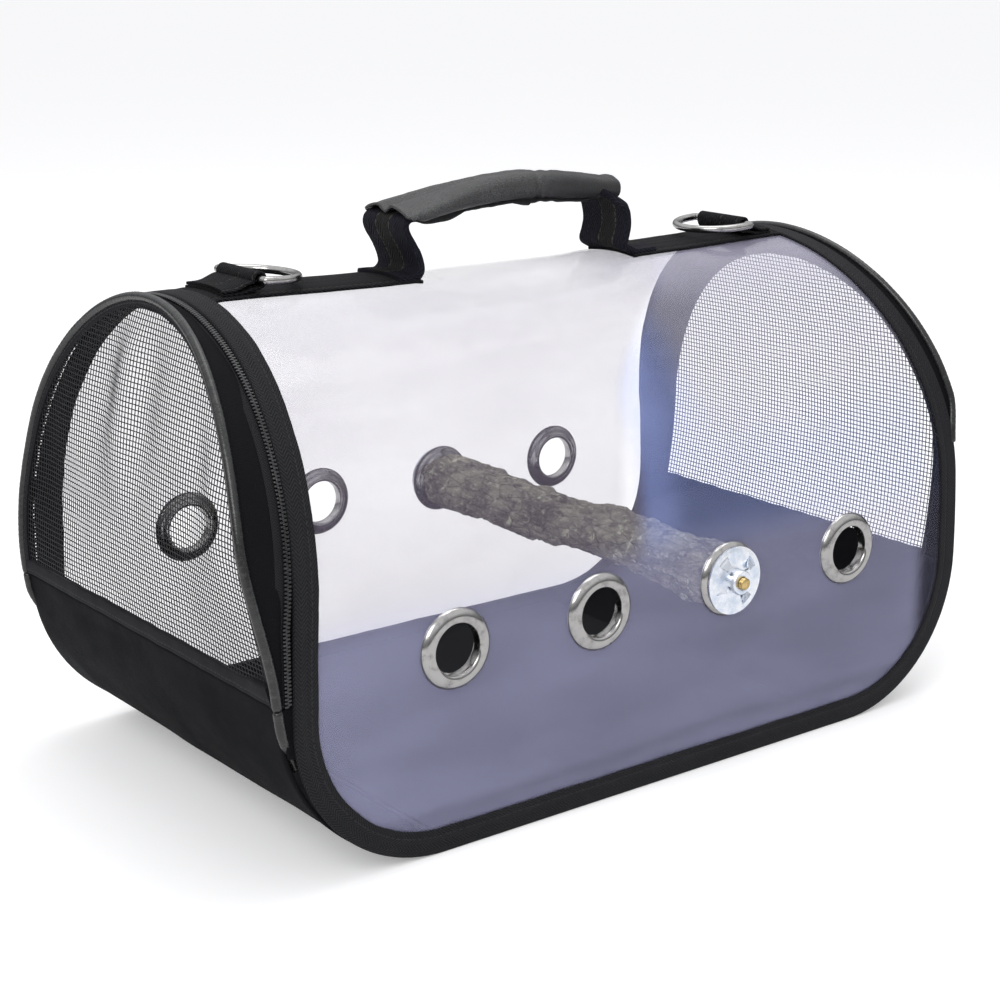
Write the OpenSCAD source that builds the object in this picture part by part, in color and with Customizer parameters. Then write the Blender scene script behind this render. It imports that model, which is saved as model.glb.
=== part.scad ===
// Soft-sided travel carrier for a small bird: a clear barrel-vault wall bound with woven tape,
// black cloth ends and base, a zipped net door at the left end, a bark perch and a webbing handle.
// X runs along the carrier, the front wall faces -Y, and Z is up from the ground.

/* [Body] */
// Length between the outer edges of the two bound side openings
body_len = 420; // [390:5:460]
// Width between the outer faces of the front and back walls
body_w = 242; // [224:2:256]
// Height from the ground to the outer face of the crown
body_h = 244; // [234:1:262]
// Thickness of the clear sheet
sheet_t = 0.8; // [0.6:0.1:1.2]
// How far below the spring of the arch the clear wall's rounded lower corners start
corner_drop = 45; // [37:1:57]
// How far the left side opening leans in at its top
left_lean = 15; // [10:1:20]
// How far the right side opening leans in at its top
right_lean = 26; // [18:1:32]

/* [Binding tape] */
// Width of the woven tape that shows on each side of the sheet's edge
tape_w = 12; // [9:0.5:16]
// Thickness of one layer of the tape
tape_t = 1.3; // [0.8:0.1:1.6]

/* [Cloth ends] */
// Thickness of the lined cloth
cloth_t = 1.6; // [1.2:0.1:2.2]
// How far below the spring of the arch the left end's rounded lower corner starts
left_corner_drop = 35; // [29:1:43]
// How far below the spring of the arch the right end's rounded lower corner starts
right_corner_drop = 43; // [33:1:51]
// How far above the spring of the arch the ends are widest
bulge_rise = 12; // [1:1:23]
// How far the left end stands out past the binding at its widest
left_bulge = 10.5; // [10:0.5:14]
// How far the left end stands out past the binding at the crown
left_top_out = 9.5; // [9:0.5:12]
// How far the right end stands out past the binding at its widest
right_bulge = 0.5; // [0:0.5:3]
// How far the right end stands out past the binding at the crown
right_top_out = 6; // [5:0.5:9]
// Radius of the piping bead round each end
bead_r = 2.2; // [1.6:0.1:2.6]
// Width of the cloth border round the right end's net
border_w = 16; // [10:1:24]
// How far below the spring of the arch the sill under the right end's net lies
sill_drop = 47; // [39:1:51]

/* [Door] */
// How far below the spring of the arch the left door's fold line lies
fold_drop = 35; // [29:1:39]
// Width of the folded hem along the door's lower edge
hem_w = 8; // [5:0.5:12]
// Width of the zip's closed row of teeth
zip_w = 3; // [2.4:0.2:3.4]
// How far the teeth stand out from the cloth
zip_proud = 1.5; // [1:0.1:2]
// Length of the zip slider along the teeth
slider_len = 12; // [9:0.5:14]
// Length of the slider's pull tab
pull_len = 24; // [16:1:32]

/* [Net] */
// Thickness of the net
net_t = 0.8; // [0.6:0.1:1.2]
// Distance between the net's strands
net_pitch = 12; // [11:0.5:16]
// Width of one strand
strand_w = 2.4; // [1.6:0.2:3.2]

/* [Eyelets and perch] */
// Number of eyelets in each long wall
eyelets = 4; // [4:1:4]
// Distance between neighbouring eyelets
eyelet_pitch = 83.5; // [70:0.5:90]
// How far below the spring of the arch the eyelets' centres lie
eyelet_drop = 27.5; // [23:0.5:38]
// Radius of an eyelet's hole
eyelet_hole_r = 12; // [10:0.5:14]
// Radius over an eyelet's rim
eyelet_rim_r = 19; // [17.5:0.5:21]
// Height of the rim's dome
eyelet_dome = 3; // [2:0.1:4]
// Eyelet that carries the perch, counted from the left
perch_eyelet = 3; // [1:1:4]
// Mean radius of the perch branch
perch_r = 15; // [14:0.5:16]
// Radius of the perch's brass studs
stud_r = 3; // [2.5:0.5:4]
// Radius of the flange of each perch nut
nut_flange_r = 17.2; // [16.5:0.2:18.5]

/* [Handle] */
// Width of the handle's webbing
webbing_w = 38; // [30:1:44]
// Thickness of one layer of webbing
webbing_t = 2.4; // [1.8:0.2:3]
// Distance between the handle's two legs
handle_span = 132; // [110:2:150]
// Distance between a leg's two folds
leg_len = 14.5; // [12:0.5:24]
// Length of the wrapped grip
grip_len = 150; // [140:2:170]
// How far the grip's middle rises above its ends
grip_rise = 7; // [3:0.5:9]
// Height of the grip's section at its middle
grip_h = 16; // [12:0.5:20]
// Width of the grip's section at its middle
grip_w = 25; // [20:1:32]
// Wire radius of the strap rings
ring_wire_r = 2; // [1.5:0.1:2.4]
// Distance of the left strap ring's bar from the left side opening
left_ring_in = 52; // [50:1:64]
// Distance of the right strap ring's bar from the right side opening
right_ring_in = 63; // [62:1:72]

/* [Clearances] */
// Running gap between pieces that move past each other
gap = 0.3; // [0.2:0.05:0.5]
// Radial play of a nut on its stud and of the pull tab on its pin
play = 0.08; // [0.05:0.01:0.1]

/* [Hidden] */

$fn = 96;
// facets of a circle whose long shallow arc bounds a thin strip
arc_fn = 720;
black = [0.12, 0.12, 0.14];
tape_black = [0.16, 0.16, 0.17];
vinyl = [0.07, 0.07, 0.08];
clear = [0.86, 0.86, 0.94, 0.3];
nickel = [0.72, 0.71, 0.70];
zinc = [0.86, 0.88, 0.92];
brass = [0.80, 0.66, 0.32];
bark = [0.45, 0.42, 0.36];

LEFT = -1;
RIGHT = 1;
FRONT = -1;
BACK = 1;
far = 2 * body_len;
half_len = body_len / 2;
arch_r = body_w / 2;
spring_z = body_h - arch_r;
corner_r = spring_z - corner_drop;
left_corner_r = spring_z - left_corner_drop;
right_corner_r = spring_z - right_corner_drop;
bulge_z = spring_z + bulge_rise;
right_sill_z = spring_z - sill_drop;
fold_z = spring_z - fold_drop;

// ---- outline of the clear wall seen from the front, its ends leaning in above the corners ----
// radius of an arc that starts upright and has moved in by lean at height h
function lean_arc_r(h, lean) = (h * h + lean * lean) / (2 * lean);
function lean_of(side) = side < 0 ? left_lean : right_lean;
function opening_r(side) = lean_arc_r(body_h - corner_r, lean_of(side));
// distance from the middle to the opening's outer edge at height z above the corners
function opening_x(side, z) =
    half_len - opening_r(side) + sqrt(pow(opening_r(side), 2) - pow(z - corner_r, 2));

// ---- outline of each cloth end seen from the front: a bow above a rounded lower corner ----
function bulge_of(side) = side < 0 ? left_bulge : right_bulge;
function top_out_of(side) = side < 0 ? left_top_out : right_top_out;
function bow_r(side) = lean_arc_r(body_h - bulge_z, bulge_of(side) + lean_of(side) - top_out_of(side));
function bow_x(side) = half_len + bulge_of(side) - bow_r(side);
function end_r(side) = side < 0 ? left_corner_r : right_corner_r;
function corner_x(side) =
    bow_x(side) + sqrt(pow(bow_r(side) - end_r(side), 2) - pow(bulge_z - end_r(side), 2));
// height at which the bow runs into the corner, for a face set in by o
function joint_z(side, o) =
    bulge_z - (bulge_z - end_r(side)) / (bow_r(side) - end_r(side)) * (bow_r(side) - o);
// distance from the middle to the end's outer face at height z
function face_x(side, z) = z > joint_z(side, 0)
    ? bow_x(side) + sqrt(pow(bow_r(side), 2) - pow(z - bulge_z, 2))
    : corner_x(side) + sqrt(pow(end_r(side), 2) - pow(z - end_r(side), 2));

// the seam between an end and its gusset, where the piping bead lies
seam_gap = 0.1;
inner_r = arch_r - bead_r - seam_gap;
// the left bead ends just above the point where the end's corner dips behind the binding
bead_dip_x = min(half_len + bead_r + seam_gap - corner_x(LEFT), left_corner_r);
left_foot_z = left_corner_r - sqrt(pow(left_corner_r, 2) - pow(bead_dip_x, 2)) + 4;
// the right bead starts where the face has left the binding behind by this much
right_foot_z = bulge_z + 4;

// ---- the zip's middle line: upright below the spring of the arch, leaning in above it ----
// it runs beside the opening's edge, clear of the edge's bow
zip_tilt = atan((opening_x(LEFT, spring_z) - opening_x(LEFT, body_h)) / arch_r);
zip_chord = arch_r / cos(zip_tilt);
edge_bow = (opening_r(LEFT) - sqrt(pow(opening_r(LEFT), 2) - pow(zip_chord / 2, 2))) / cos(zip_tilt);
zip_edge_gap = 0.3;
zip_foot_x = -opening_x(LEFT, spring_z) - edge_bow - zip_edge_gap - zip_w / 2;

// ---- heights of what lies on the crown ----
strap_top_z = body_h + webbing_t;
leg_t = 2 * webbing_t;
leg_x = handle_span / 2;
leg_foot_z = strap_top_z + gap + leg_t / 2;
leg_head_z = leg_foot_z + leg_len;
// underside of the grip where it rests on the legs
grip_foot_z = leg_head_z + leg_t / 2 + gap;
core_t = 2 * webbing_t;
core_w = webbing_w * 0.55;
wrap_t = 1.6;
wrap_end_h = core_t + 2 * wrap_t + 3;

// ---- eyelets and perch ----
barrel_t = 0.7;
eyelet_z = spring_z - eyelet_drop;
eyelet_x = [for (i = [0:eyelets - 1]) (i - (eyelets - 1) / 2) * eyelet_pitch];
perch_x = eyelet_x[perch_eyelet - 1];
washer_h = 1.6;
lip_h = 0.8;
eyelet_back = sheet_t + washer_h + lip_h;
perch_half = arch_r - eyelet_back - gap;
stud_in = 22;
nut_seat = arch_r + eyelet_dome + gap;
nut_t = 1.2;
nut_hub_r = stud_r + 3.2;
nut_hub_h = 5.5;
nut_tab_h = 4.2;
stud_out = nut_seat + nut_t + nut_hub_h + 2.4;

// ============ helpers ============

// a profile drawn in Y and Z, carried along X
module along_x(x0, x1) {
    translate([x0, 0, 0])
        rotate([90, 0, 90])
            linear_extrude(x1 - x0)
                children();
}

// a profile drawn in X and Z, carried along Y
module along_y(y0, y1) {
    translate([0, y1, 0])
        rotate([90, 0, 0])
            linear_extrude(y1 - y0)
                children();
}

// the vault's cross-section, grown outwards by d, standing on z0
module vault(d, z0 = 0) {
    translate([0, spring_z])
        circle(r = arch_r + d, $fn = 240);
    translate([-(arch_r + d), z0])
        square([2 * (arch_r + d), spring_z - z0]);
}

// the vault's wall between two depths, open below
module vault_wall(d_in, d_out, z0 = 0) {
    difference() {
        vault(d_out, z0);
        vault(d_in, z0 - 1);
    }
}

// the clear wall's outline from the front, set in by o
module wall_outline(o) {
    intersection() {
        translate([-far / 2, corner_r])
            square([far, body_h]);
        translate([-half_len + opening_r(LEFT), corner_r])
            circle(r = opening_r(LEFT) - o, $fn = arc_fn);
        translate([half_len - opening_r(RIGHT), corner_r])
            circle(r = opening_r(RIGHT) - o, $fn = arc_fn);
    }
    for (side = [LEFT, RIGHT])
        translate([side * (half_len - corner_r), corner_r])
            circle(r = corner_r - o);
    translate([-half_len + corner_r, o])
        square([body_len - 2 * corner_r, corner_r - o]);
}

// one cloth end's outline from the front, set in by o, filled to the carrier's middle
module end_outline(side, o) {
    mirror([side < 0 ? 1 : 0, 0]) {
        intersection() {
            translate([bow_x(side), bulge_z])
                circle(r = bow_r(side) - o, $fn = arc_fn);
            translate([0, joint_z(side, o)])
                square([far, body_h]);
        }
        intersection() {
            translate([corner_x(side), end_r(side)])
                circle(r = end_r(side) - o);
            square([far, body_h]);
        }
        translate([0, o])
            square([corner_x(side), joint_z(side, o) - o]);
    }
}

// the full circle whose arc is an opening's leaning edge
module opening_circle(side) {
    translate([side * (half_len - opening_r(side)), corner_r])
        circle(r = opening_r(side), $fn = arc_fn);
}

// the part of the left end on one side of a line beside the zip's middle line, from height z up:
// out to the left of it or in to the right
module zip_side(out, d, z) {
    top = body_h + 10;
    top_x = zip_foot_x + (top - spring_z) * tan(zip_tilt);
    limit = out ? -half_len - 2 * left_bulge : -half_len + 2 * left_lean;
    polygon([[limit, z], [zip_foot_x + d, z], [zip_foot_x + d, spring_z], [top_x + d, top], [limit, top]]);
}

module above(z) {
    translate([-far / 2, z])
        square([far, body_h]);
}

module below(z) {
    translate([-far / 2, -1])
        square([far, z + 1]);
}

// a closed skin over a row of equal rings of points
module skin(rings) {
    n = len(rings);
    m = len(rings[0]);
    polyhedron(
        points = [for (r = rings) for (p = r) p],
        faces = concat(
            [[for (j = [0:m - 1]) j]],
            [[for (j = [0:m - 1]) n * m - 1 - j]],
            [for (i = [0:n - 2]) for (j = [0:m - 1])
                [i * m + j, (i + 1) * m + j, i * m + (j + 1) % m]],
            [for (i = [0:n - 2]) for (j = [0:m - 1])
                [(i + 1) * m + j, (i + 1) * m + (j + 1) % m, i * m + (j + 1) % m]]));
}

// ============ clear wall and its bound edges ============

module wall_sheet() {
    intersection() {
        along_x(-half_len, half_len)
            vault_wall(-sheet_t, 0);
        along_y(-far, far)
            wall_outline(tape_t);
    }
}

module clear_wall() {
    color(clear)
        difference() {
            wall_sheet();
            for (x = eyelet_x)
                translate([x, 0, eyelet_z])
                    rotate([90, 0, 0])
                        cylinder(r = eyelet_hole_r + barrel_t + seam_gap, h = 2 * body_w, center = true);
        }
}

// the tape folded over the sheet's edge between two distances along X
module edge_tape(x0, x1, y0 = -far, y1 = far) {
    color(tape_black)
        difference() {
            intersection() {
                along_x(x0, x1)
                    vault_wall(-sheet_t - tape_t, tape_t);
                along_y(y0, y1)
                    difference() {
                        wall_outline(0);
                        wall_outline(tape_w);
                    }
            }
            wall_sheet();
        }
}

module left_binding() {
    edge_tape(-half_len, -half_len + corner_r);
}

module right_binding() {
    edge_tape(half_len - corner_r, half_len);
}

module front_hem() {
    edge_tape(-half_len + corner_r, half_len - corner_r, -far, 0);
}

module back_hem() {
    edge_tape(-half_len + corner_r, half_len - corner_r, 0, far);
}

// ============ base ============

// each end panel reaches in under the floor by this much, to its seam with the base
panel_foot = 6;
function base_x(side) = side * (corner_x(side) - panel_foot);

// the flat cloth under the floor
module base_cloth() {
    color(black)
        translate([base_x(LEFT), -inner_r, 0])
            cube([base_x(RIGHT) - base_x(LEFT), 2 * inner_r, cloth_t]);
}

// the cloth of one end, from the floor round the lower corner and up to a height
module end_panel(side, top) {
    color(black)
        along_y(-inner_r, inner_r)
            intersection() {
                difference() {
                    end_outline(side, 0);
                    end_outline(side, cloth_t);
                }
                translate([side < 0 ? base_x(side) - far : base_x(side), 0])
                    square([far, top]);
            }
}

module left_end_panel() {
    end_panel(LEFT, fold_z - gap / 2);
}

module right_end_panel() {
    end_panel(RIGHT, right_sill_z);
}

board_t = 2;
lining_t = 1;

module base_board() {
    color([0.30, 0.28, 0.26])
        translate([-corner_x(LEFT), -inner_r, cloth_t])
            cube([corner_x(LEFT) + corner_x(RIGHT), 2 * inner_r, board_t]);
}

module floor_lining() {
    color(black)
        along_y(-inner_r, inner_r)
            translate([-corner_x(LEFT), cloth_t + board_t])
                square([corner_x(LEFT) + corner_x(RIGHT), lining_t]);
}

// ============ left end: gusset, zip and door ============

// a strip between two depths of the vault's own surface that fills a region drawn from the front
module gusset_strip(d_in = -cloth_t, d_out = 0) {
    intersection() {
        along_x(-far, far)
            vault_wall(d_in, d_out);
        along_y(-far, far)
            children();
    }
}

module left_gusset() {
    color(black)
        gusset_strip()
            difference() {
                intersection() {
                    end_outline(LEFT, bead_r + seam_gap);
                    translate([-far, left_foot_z])
                        square([far, fold_z - left_foot_z]);
                }
                opening_circle(LEFT);
            }
}

// the tape runs back from the zip's middle line and is sewn against the inside of the binding
binding_in = -sheet_t - tape_t;
zip_tape_w = 8;

module zip_tape() {
    color(vinyl)
        gusset_strip(binding_in - cloth_t / 2, binding_in)
            difference() {
                zip_side(false, 0, fold_z);
                zip_side(false, zip_tape_w, fold_z - 1);
            }
}

// a row of teeth on the tape, beside the zip's middle line
module zip_body_half() {
    color(vinyl)
        gusset_strip(binding_in, zip_proud)
            difference() {
                zip_side(false, 0, fold_z);
                zip_side(false, zip_w / 2, fold_z - 1);
            }
}

module zip_door_half() {
    color(vinyl)
        gusset_strip(-cloth_t, zip_proud)
            difference() {
                zip_side(true, -gap, fold_z + gap);
                zip_side(true, -zip_w / 2, fold_z);
            }
}

module door_strip() {
    color(black)
        gusset_strip()
            intersection() {
                zip_side(true, -zip_w / 2, fold_z + gap);
                end_outline(LEFT, bead_r + seam_gap);
            }
}

// the bead along the seam of an end: up one wall, over the crown and down the other
function seam_point(side, s) = let (
        up = spring_z,
        a = (s - up) / arch_r * 180 / PI,
        z = s < up ? s : s > up + PI * arch_r ? 2 * up + PI * arch_r - s : up + arch_r * sin(a),
        y = s < up ? -arch_r : s > up + PI * arch_r ? arch_r : -arch_r * cos(a))
    [side * face_x(side, z), y, z];

function unit(v) = v / norm(v);

function bead_ring(side, s, sides) = let (
        c = seam_point(side, s),
        t = unit(seam_point(side, s + 0.5) - seam_point(side, s - 0.5)),
        out = unit([0, c[1], max(c[2] - spring_z, 0)]),
        u = unit(out - (out * t) * t),
        v = cross(t, u))
    [for (j = [0:sides - 1]) c + bead_r * (cos(360 * j / sides) * u + sin(360 * j / sides) * v)];

module bead(side, s0, s1, rings) {
    sides = 8;
    skin([for (i = [0:rings]) bead_ring(side, s0 + (s1 - s0) * i / rings, sides)]);
}

seam_len = 2 * spring_z + PI * arch_r;

module door_piping() {
    color(vinyl)
        bead(LEFT, fold_z + gap, seam_len - fold_z - gap, 72);
}

module base_piping() {
    color(vinyl) {
        bead(LEFT, left_foot_z, fold_z - gap, 6);
        bead(LEFT, seam_len - fold_z + gap, seam_len - left_foot_z, 6);
    }
}

// a net with square gaps and a solid rim, inside the vault's section above a sill
module net_face(edge_r, sill) {
    rim = strand_w;
    columns = ceil(edge_r / net_pitch);
    rows = ceil((spring_z + edge_r - sill) / net_pitch);
    difference() {
        intersection() {
            vault(edge_r - arch_r);
            above(sill);
        }
        intersection() {
            vault(edge_r - arch_r - rim);
            above(sill + rim);
            for (i = [-columns:columns])
                for (j = [0:rows])
                    translate([i * net_pitch - (net_pitch - strand_w) / 2, sill + rim + j * net_pitch])
                        square(net_pitch - strand_w);
        }
    }
}

// a layer of an end's face between two depths
module end_layer(side, d0, d1) {
    along_y(-far, far)
        intersection() {
            difference() {
                end_outline(side, d0);
                end_outline(side, d1);
            }
            above(0);
        }
}

module door_net() {
    color(vinyl)
        intersection() {
            end_layer(LEFT, 0, net_t);
            along_x(-far, 0)
                net_face(inner_r, fold_z + gap + hem_w);
        }
}

module door_hem() {
    color(black)
        intersection() {
            end_layer(LEFT, 0, cloth_t);
            translate([-far, -inner_r, fold_z + gap])
                cube([far, 2 * inner_r, hem_w]);
        }
}

// the slider turns about the arch's axis, raised so that its level path clears the leaning teeth
slider_axis_rise = arch_r * (1 - cos(zip_tilt));
slider_half_w = zip_w / 2 + 1;
slider_seat = max(zip_proud + zip_w / 2 * sin(zip_tilt), tape_t + slider_half_w * sin(zip_tilt)) + gap;
slider_t = 1.8;
ear_t = 0.8;
pull_pin_r = 0.8;
pull_eye_r = 1.8;
pull_pin_d = slider_seat + slider_t + pull_eye_r + gap;
// parked with its lower end just above the spring of the arch
slider_park = asin((slider_len / 2 + 1) / arch_r);

// the slider's own place on the back wall: X across the teeth, Y outwards, Z along the teeth
module at_slider() {
    translate([zip_foot_x + slider_axis_rise * tan(zip_tilt), 0, spring_z + slider_axis_rise])
        rotate([0, zip_tilt, 0])
            rotate([slider_park, 0, 0])
                translate([0, arch_r, 0])
                    children();
}

module zip_slider() {
    color(nickel)
        at_slider() {
            translate([-slider_half_w, slider_seat, -slider_len / 2])
                cube([2 * slider_half_w, slider_t, slider_len]);
            for (side = [LEFT, RIGHT])
                translate([side * (slider_half_w - ear_t / 2) - ear_t / 2, 0, 0]) {
                    translate([0, pull_pin_d, 0])
                        rotate([0, 90, 0])
                            cylinder(r = pull_eye_r, h = ear_t, $fn = 32);
                    translate([0, slider_seat, -pull_eye_r])
                        cube([ear_t, pull_pin_d - slider_seat, 2 * pull_eye_r]);
                }
            translate([-slider_half_w, pull_pin_d, 0])
                rotate([0, 90, 0])
                    cylinder(r = pull_pin_r, h = 2 * slider_half_w, $fn = 32);
        }
}

module zip_pull_tab() {
    w = 2 * (slider_half_w - ear_t - play);
    t = 1.2;
    color(nickel)
        at_slider()
            translate([0, pull_pin_d, 0])
                difference() {
                    union() {
                        rotate([0, 90, 0])
                            cylinder(r = pull_eye_r, h = w, center = true, $fn = 48);
                        translate([-w / 2, -t / 2, -slider_len / 2 - 2])
                            cube([w, t, slider_len / 2 + 2]);
                        translate([-w * 0.8, -t / 2, -pull_len + w * 0.8])
                            cube([w * 1.6, t, pull_len - w * 0.8 - slider_len / 2 - 1]);
                        translate([0, t / 2, -pull_len + w * 0.8])
                            rotate([90, 0, 0])
                                cylinder(r = w * 0.8, h = t);
                    }
                    rotate([0, 90, 0])
                        cylinder(r = pull_pin_r + play, h = 4 * slider_half_w, center = true, $fn = 48);
                    translate([0, t, -pull_len + w * 0.8])
                        rotate([90, 0, 0])
                            cylinder(r = w * 0.35, h = 2 * t);
                }
}

// ============ right end ============

module right_gusset() {
    color(black)
        gusset_strip()
            difference() {
                intersection() {
                    end_outline(RIGHT, bead_r + seam_gap);
                    translate([0, right_foot_z])
                        square([far, body_h]);
                }
                opening_circle(RIGHT);
            }
}

module right_piping() {
    color(vinyl)
        bead(RIGHT, right_foot_z + 1, seam_len - right_foot_z - 1, 60);
}

module right_border() {
    color(black)
        intersection() {
            end_layer(RIGHT, 0, cloth_t);
            along_x(0, far)
                intersection() {
                    difference() {
                        vault(inner_r - arch_r);
                        vault(-border_w, -1);
                    }
                    above(right_sill_z);
                }
        }
}

module right_net() {
    color(vinyl)
        intersection() {
            end_layer(RIGHT, 0, net_t);
            along_x(0, far)
                net_face(arch_r - border_w, right_sill_z);
        }
}

// ============ eyelets and perch ============

// a place on a long wall's outer face at an eyelet, its own Z pointing outwards
module at_wall(x, wall) {
    translate([x, wall * arch_r, eyelet_z])
        rotate([wall < 0 ? 90 : -90, 0, 0])
            children();
}

// stamped outer half: domed rim, barrel through the sheet and lip rolled over the washer
module eyelet() {
    mid_r = (eyelet_hole_r + eyelet_rim_r) / 2;
    half = (eyelet_rim_r - eyelet_hole_r) / 2;
    dome_r = (half * half + eyelet_dome * eyelet_dome) / (2 * eyelet_dome);
    color(nickel)
        rotate_extrude() {
            intersection() {
                translate([mid_r, eyelet_dome - dome_r])
                    circle(r = dome_r);
                translate([eyelet_hole_r, 0])
                    square([2 * half, eyelet_dome]);
            }
            translate([eyelet_hole_r, -eyelet_back])
                square([barrel_t, eyelet_back + 0.2]);
            translate([eyelet_hole_r, -eyelet_back])
                square([2.6, lip_h]);
        }
}

module eyelet_washer() {
    inner = eyelet_hole_r + barrel_t + seam_gap;
    color(nickel)
        rotate_extrude()
            polygon([[inner, -sheet_t], [eyelet_rim_r - 0.6, -sheet_t],
                     [eyelet_rim_r - 1.8, -sheet_t - washer_h], [inner, -sheet_t - washer_h]]);
}

module front_eyelets() {
    for (x = eyelet_x)
        at_wall(x, FRONT)
            eyelet();
}

module front_eyelet_washers() {
    for (x = eyelet_x)
        at_wall(x, FRONT)
            eyelet_washer();
}

module back_eyelets() {
    for (x = eyelet_x)
        at_wall(x, BACK)
            eyelet();
}

module back_eyelet_washers() {
    for (x = eyelet_x)
        at_wall(x, BACK)
            eyelet_washer();
}

// the branch: a slightly bent stick whose section swells and knots along its length
function branch_ring(t, sides) = [for (j = [0:sides - 1]) let (
        a = 360 * j / sides,
        knots = 0.05 * sin(3 * a + 700 * t) + 0.035 * sin(2 * a - 1150 * t) + 0.03 * sin(5 * a + 1900 * t),
        swell = 0.05 * cos(400 * t) + 0.02 * sin(1300 * t),
        r = perch_r * (1 + knots + swell - 0.04 * sin(180 * t)))
    [perch_x + 2 * sin(180 * t) + r * cos(a),
     -perch_half + 2 * perch_half * t,
     eyelet_z + 1.5 * sin(360 * t) * sin(180 * t) + r * sin(a)]];

module perch_branch() {
    rings = 30;
    sides = 16;
    color(bark)
        difference() {
            skin([for (i = [0:rings]) branch_ring(i / rings, sides)]);
            for (wall = [FRONT, BACK])
                translate([perch_x, wall * (perch_half - stud_in), eyelet_z])
                    rotate([wall < 0 ? 90 : -90, 0, 0])
                        cylinder(r = stud_r, h = stud_in + 1);
        }
}

module perch_studs() {
    color(brass)
        for (wall = [FRONT, BACK])
            translate([perch_x, wall * (perch_half - stud_in), eyelet_z])
                rotate([wall < 0 ? 90 : -90, 0, 0]) {
                    cylinder(r = stud_r, h = stud_out - perch_half + stud_in - 0.6);
                    translate([0, 0, stud_out - perch_half + stud_in - 0.6])
                        cylinder(r1 = stud_r, r2 = stud_r - 0.6, h = 0.6);
                }
}

// pressed flange nut: four finger tabs are cut out of the flange and stand up at its rim
module perch_nut() {
    window_in = nut_hub_r + 1.2;
    window_out = nut_flange_r - 3;
    tab_t = 1;
    color(zinc) {
        difference() {
            union() {
                cylinder(r = nut_flange_r, h = nut_t);
                cylinder(r = nut_hub_r, h = nut_t + nut_hub_h);
            }
            translate([0, 0, -1])
                cylinder(r = stud_r + play, h = nut_hub_h + 4);
            for (a = [37:90:307])
                rotate([0, 0, a])
                    translate([0, 0, -1])
                        linear_extrude(nut_t + 2)
                            polygon([[window_in, -1.2], [window_out, -3.6],
                                     [window_out, 3.6], [window_in, 1.2]]);
        }
        for (a = [37:90:307])
            rotate([0, 0, a])
                translate([window_out, 0, 0])
                    rotate([90, 0, 90])
                        linear_extrude(tab_t)
                            polygon([[-3.4, 0], [3.4, 0], [2.2, nut_t + nut_tab_h], [-2.2, nut_t + nut_tab_h]]);
    }
}

module front_perch_nut() {
    translate([perch_x, -nut_seat, eyelet_z])
        rotate([90, 0, 0])
            perch_nut();
}

module back_perch_nut() {
    translate([perch_x, nut_seat, eyelet_z])
        rotate([-90, 0, 0])
            perch_nut();
}

// ============ top straps, rings and handle ============

// webbing sewn along the crown from a side opening to the handle
module top_strap(side) {
    color(black)
        intersection() {
            along_x(side < 0 ? -half_len : leg_x - leg_t / 2, side < 0 ? -leg_x + leg_t / 2 : half_len)
                intersection() {
                    vault_wall(0, webbing_t);
                    translate([-webbing_w / 2, spring_z])
                        square([webbing_w, arch_r + 10]);
                }
            along_y(-far, far)
                wall_outline(tape_w);
        }
}

module left_strap() {
    top_strap(LEFT);
}

module right_strap() {
    top_strap(RIGHT);
}

tab_layer = 1.8;
ring_hole_r = ring_wire_r + gap;
ring_bar_z = strap_top_z + ring_hole_r + tab_layer;
ring_inner_w = webbing_w + 2;
tab_w = webbing_w - 4;
tab_tail = 20;
left_ring_x = half_len - left_ring_in;
right_ring_x = half_len - right_ring_in;

// a short webbing loop round the ring's bar, its doubled tail sewn to the strap
module ring_tab(side, x) {
    color(black)
        difference() {
            union() {
                translate([side * x, 0, ring_bar_z])
                    rotate([90, 0, 0])
                        cylinder(r = ring_hole_r + tab_layer, h = tab_w, center = true);
                intersection() {
                    along_x(side < 0 ? -x - tab_tail : x, side < 0 ? -x : x + tab_tail)
                        vault_wall(webbing_t, webbing_t + 2 * tab_layer);
                    translate([-far, -tab_w / 2, spring_z])
                        cube([2 * far, tab_w, body_h]);
                }
            }
            translate([side * x, 0, ring_bar_z])
                rotate([90, 0, 0])
                    cylinder(r = ring_hole_r, h = webbing_w + 10, center = true);
        }
}

module left_ring_tab() {
    ring_tab(LEFT, left_ring_x);
}

module right_ring_tab() {
    ring_tab(RIGHT, right_ring_x);
}

ring_side = 5;
ring_arc_r = ring_inner_w / 2 + ring_wire_r;
ring_reach = ring_side + ring_arc_r;
// the ring lies with its round end on the strap
ring_drop = asin((ring_bar_z - strap_top_z - gap - ring_wire_r) / ring_reach);

// a welded wire ring, flat on the strap, its round end towards the handle
module strap_ring(side, x) {
    color(nickel)
        translate([side * x, 0, ring_bar_z])
            rotate([0, 0, side < 0 ? 180 : 0])
                rotate([0, -ring_drop, 0]) {
                    translate([0, -ring_arc_r, 0])
                        rotate([-90, 0, 0])
                            cylinder(r = ring_wire_r - 0.1, h = 2 * ring_arc_r, $fn = 32);
                    for (y = [-ring_arc_r, ring_arc_r])
                        translate([-ring_side, y, 0])
                            rotate([0, 90, 0])
                                cylinder(r = ring_wire_r, h = ring_side + ring_wire_r, $fn = 32);
                    translate([-ring_side, 0, 0])
                        rotate([0, 0, 90])
                            rotate_extrude(angle = 180)
                                translate([ring_arc_r, 0])
                                    circle(r = ring_wire_r, $fn = 32);
                }
}

module left_strap_ring() {
    strap_ring(LEFT, left_ring_x);
}

module right_strap_ring() {
    strap_ring(RIGHT, right_ring_x);
}

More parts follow.
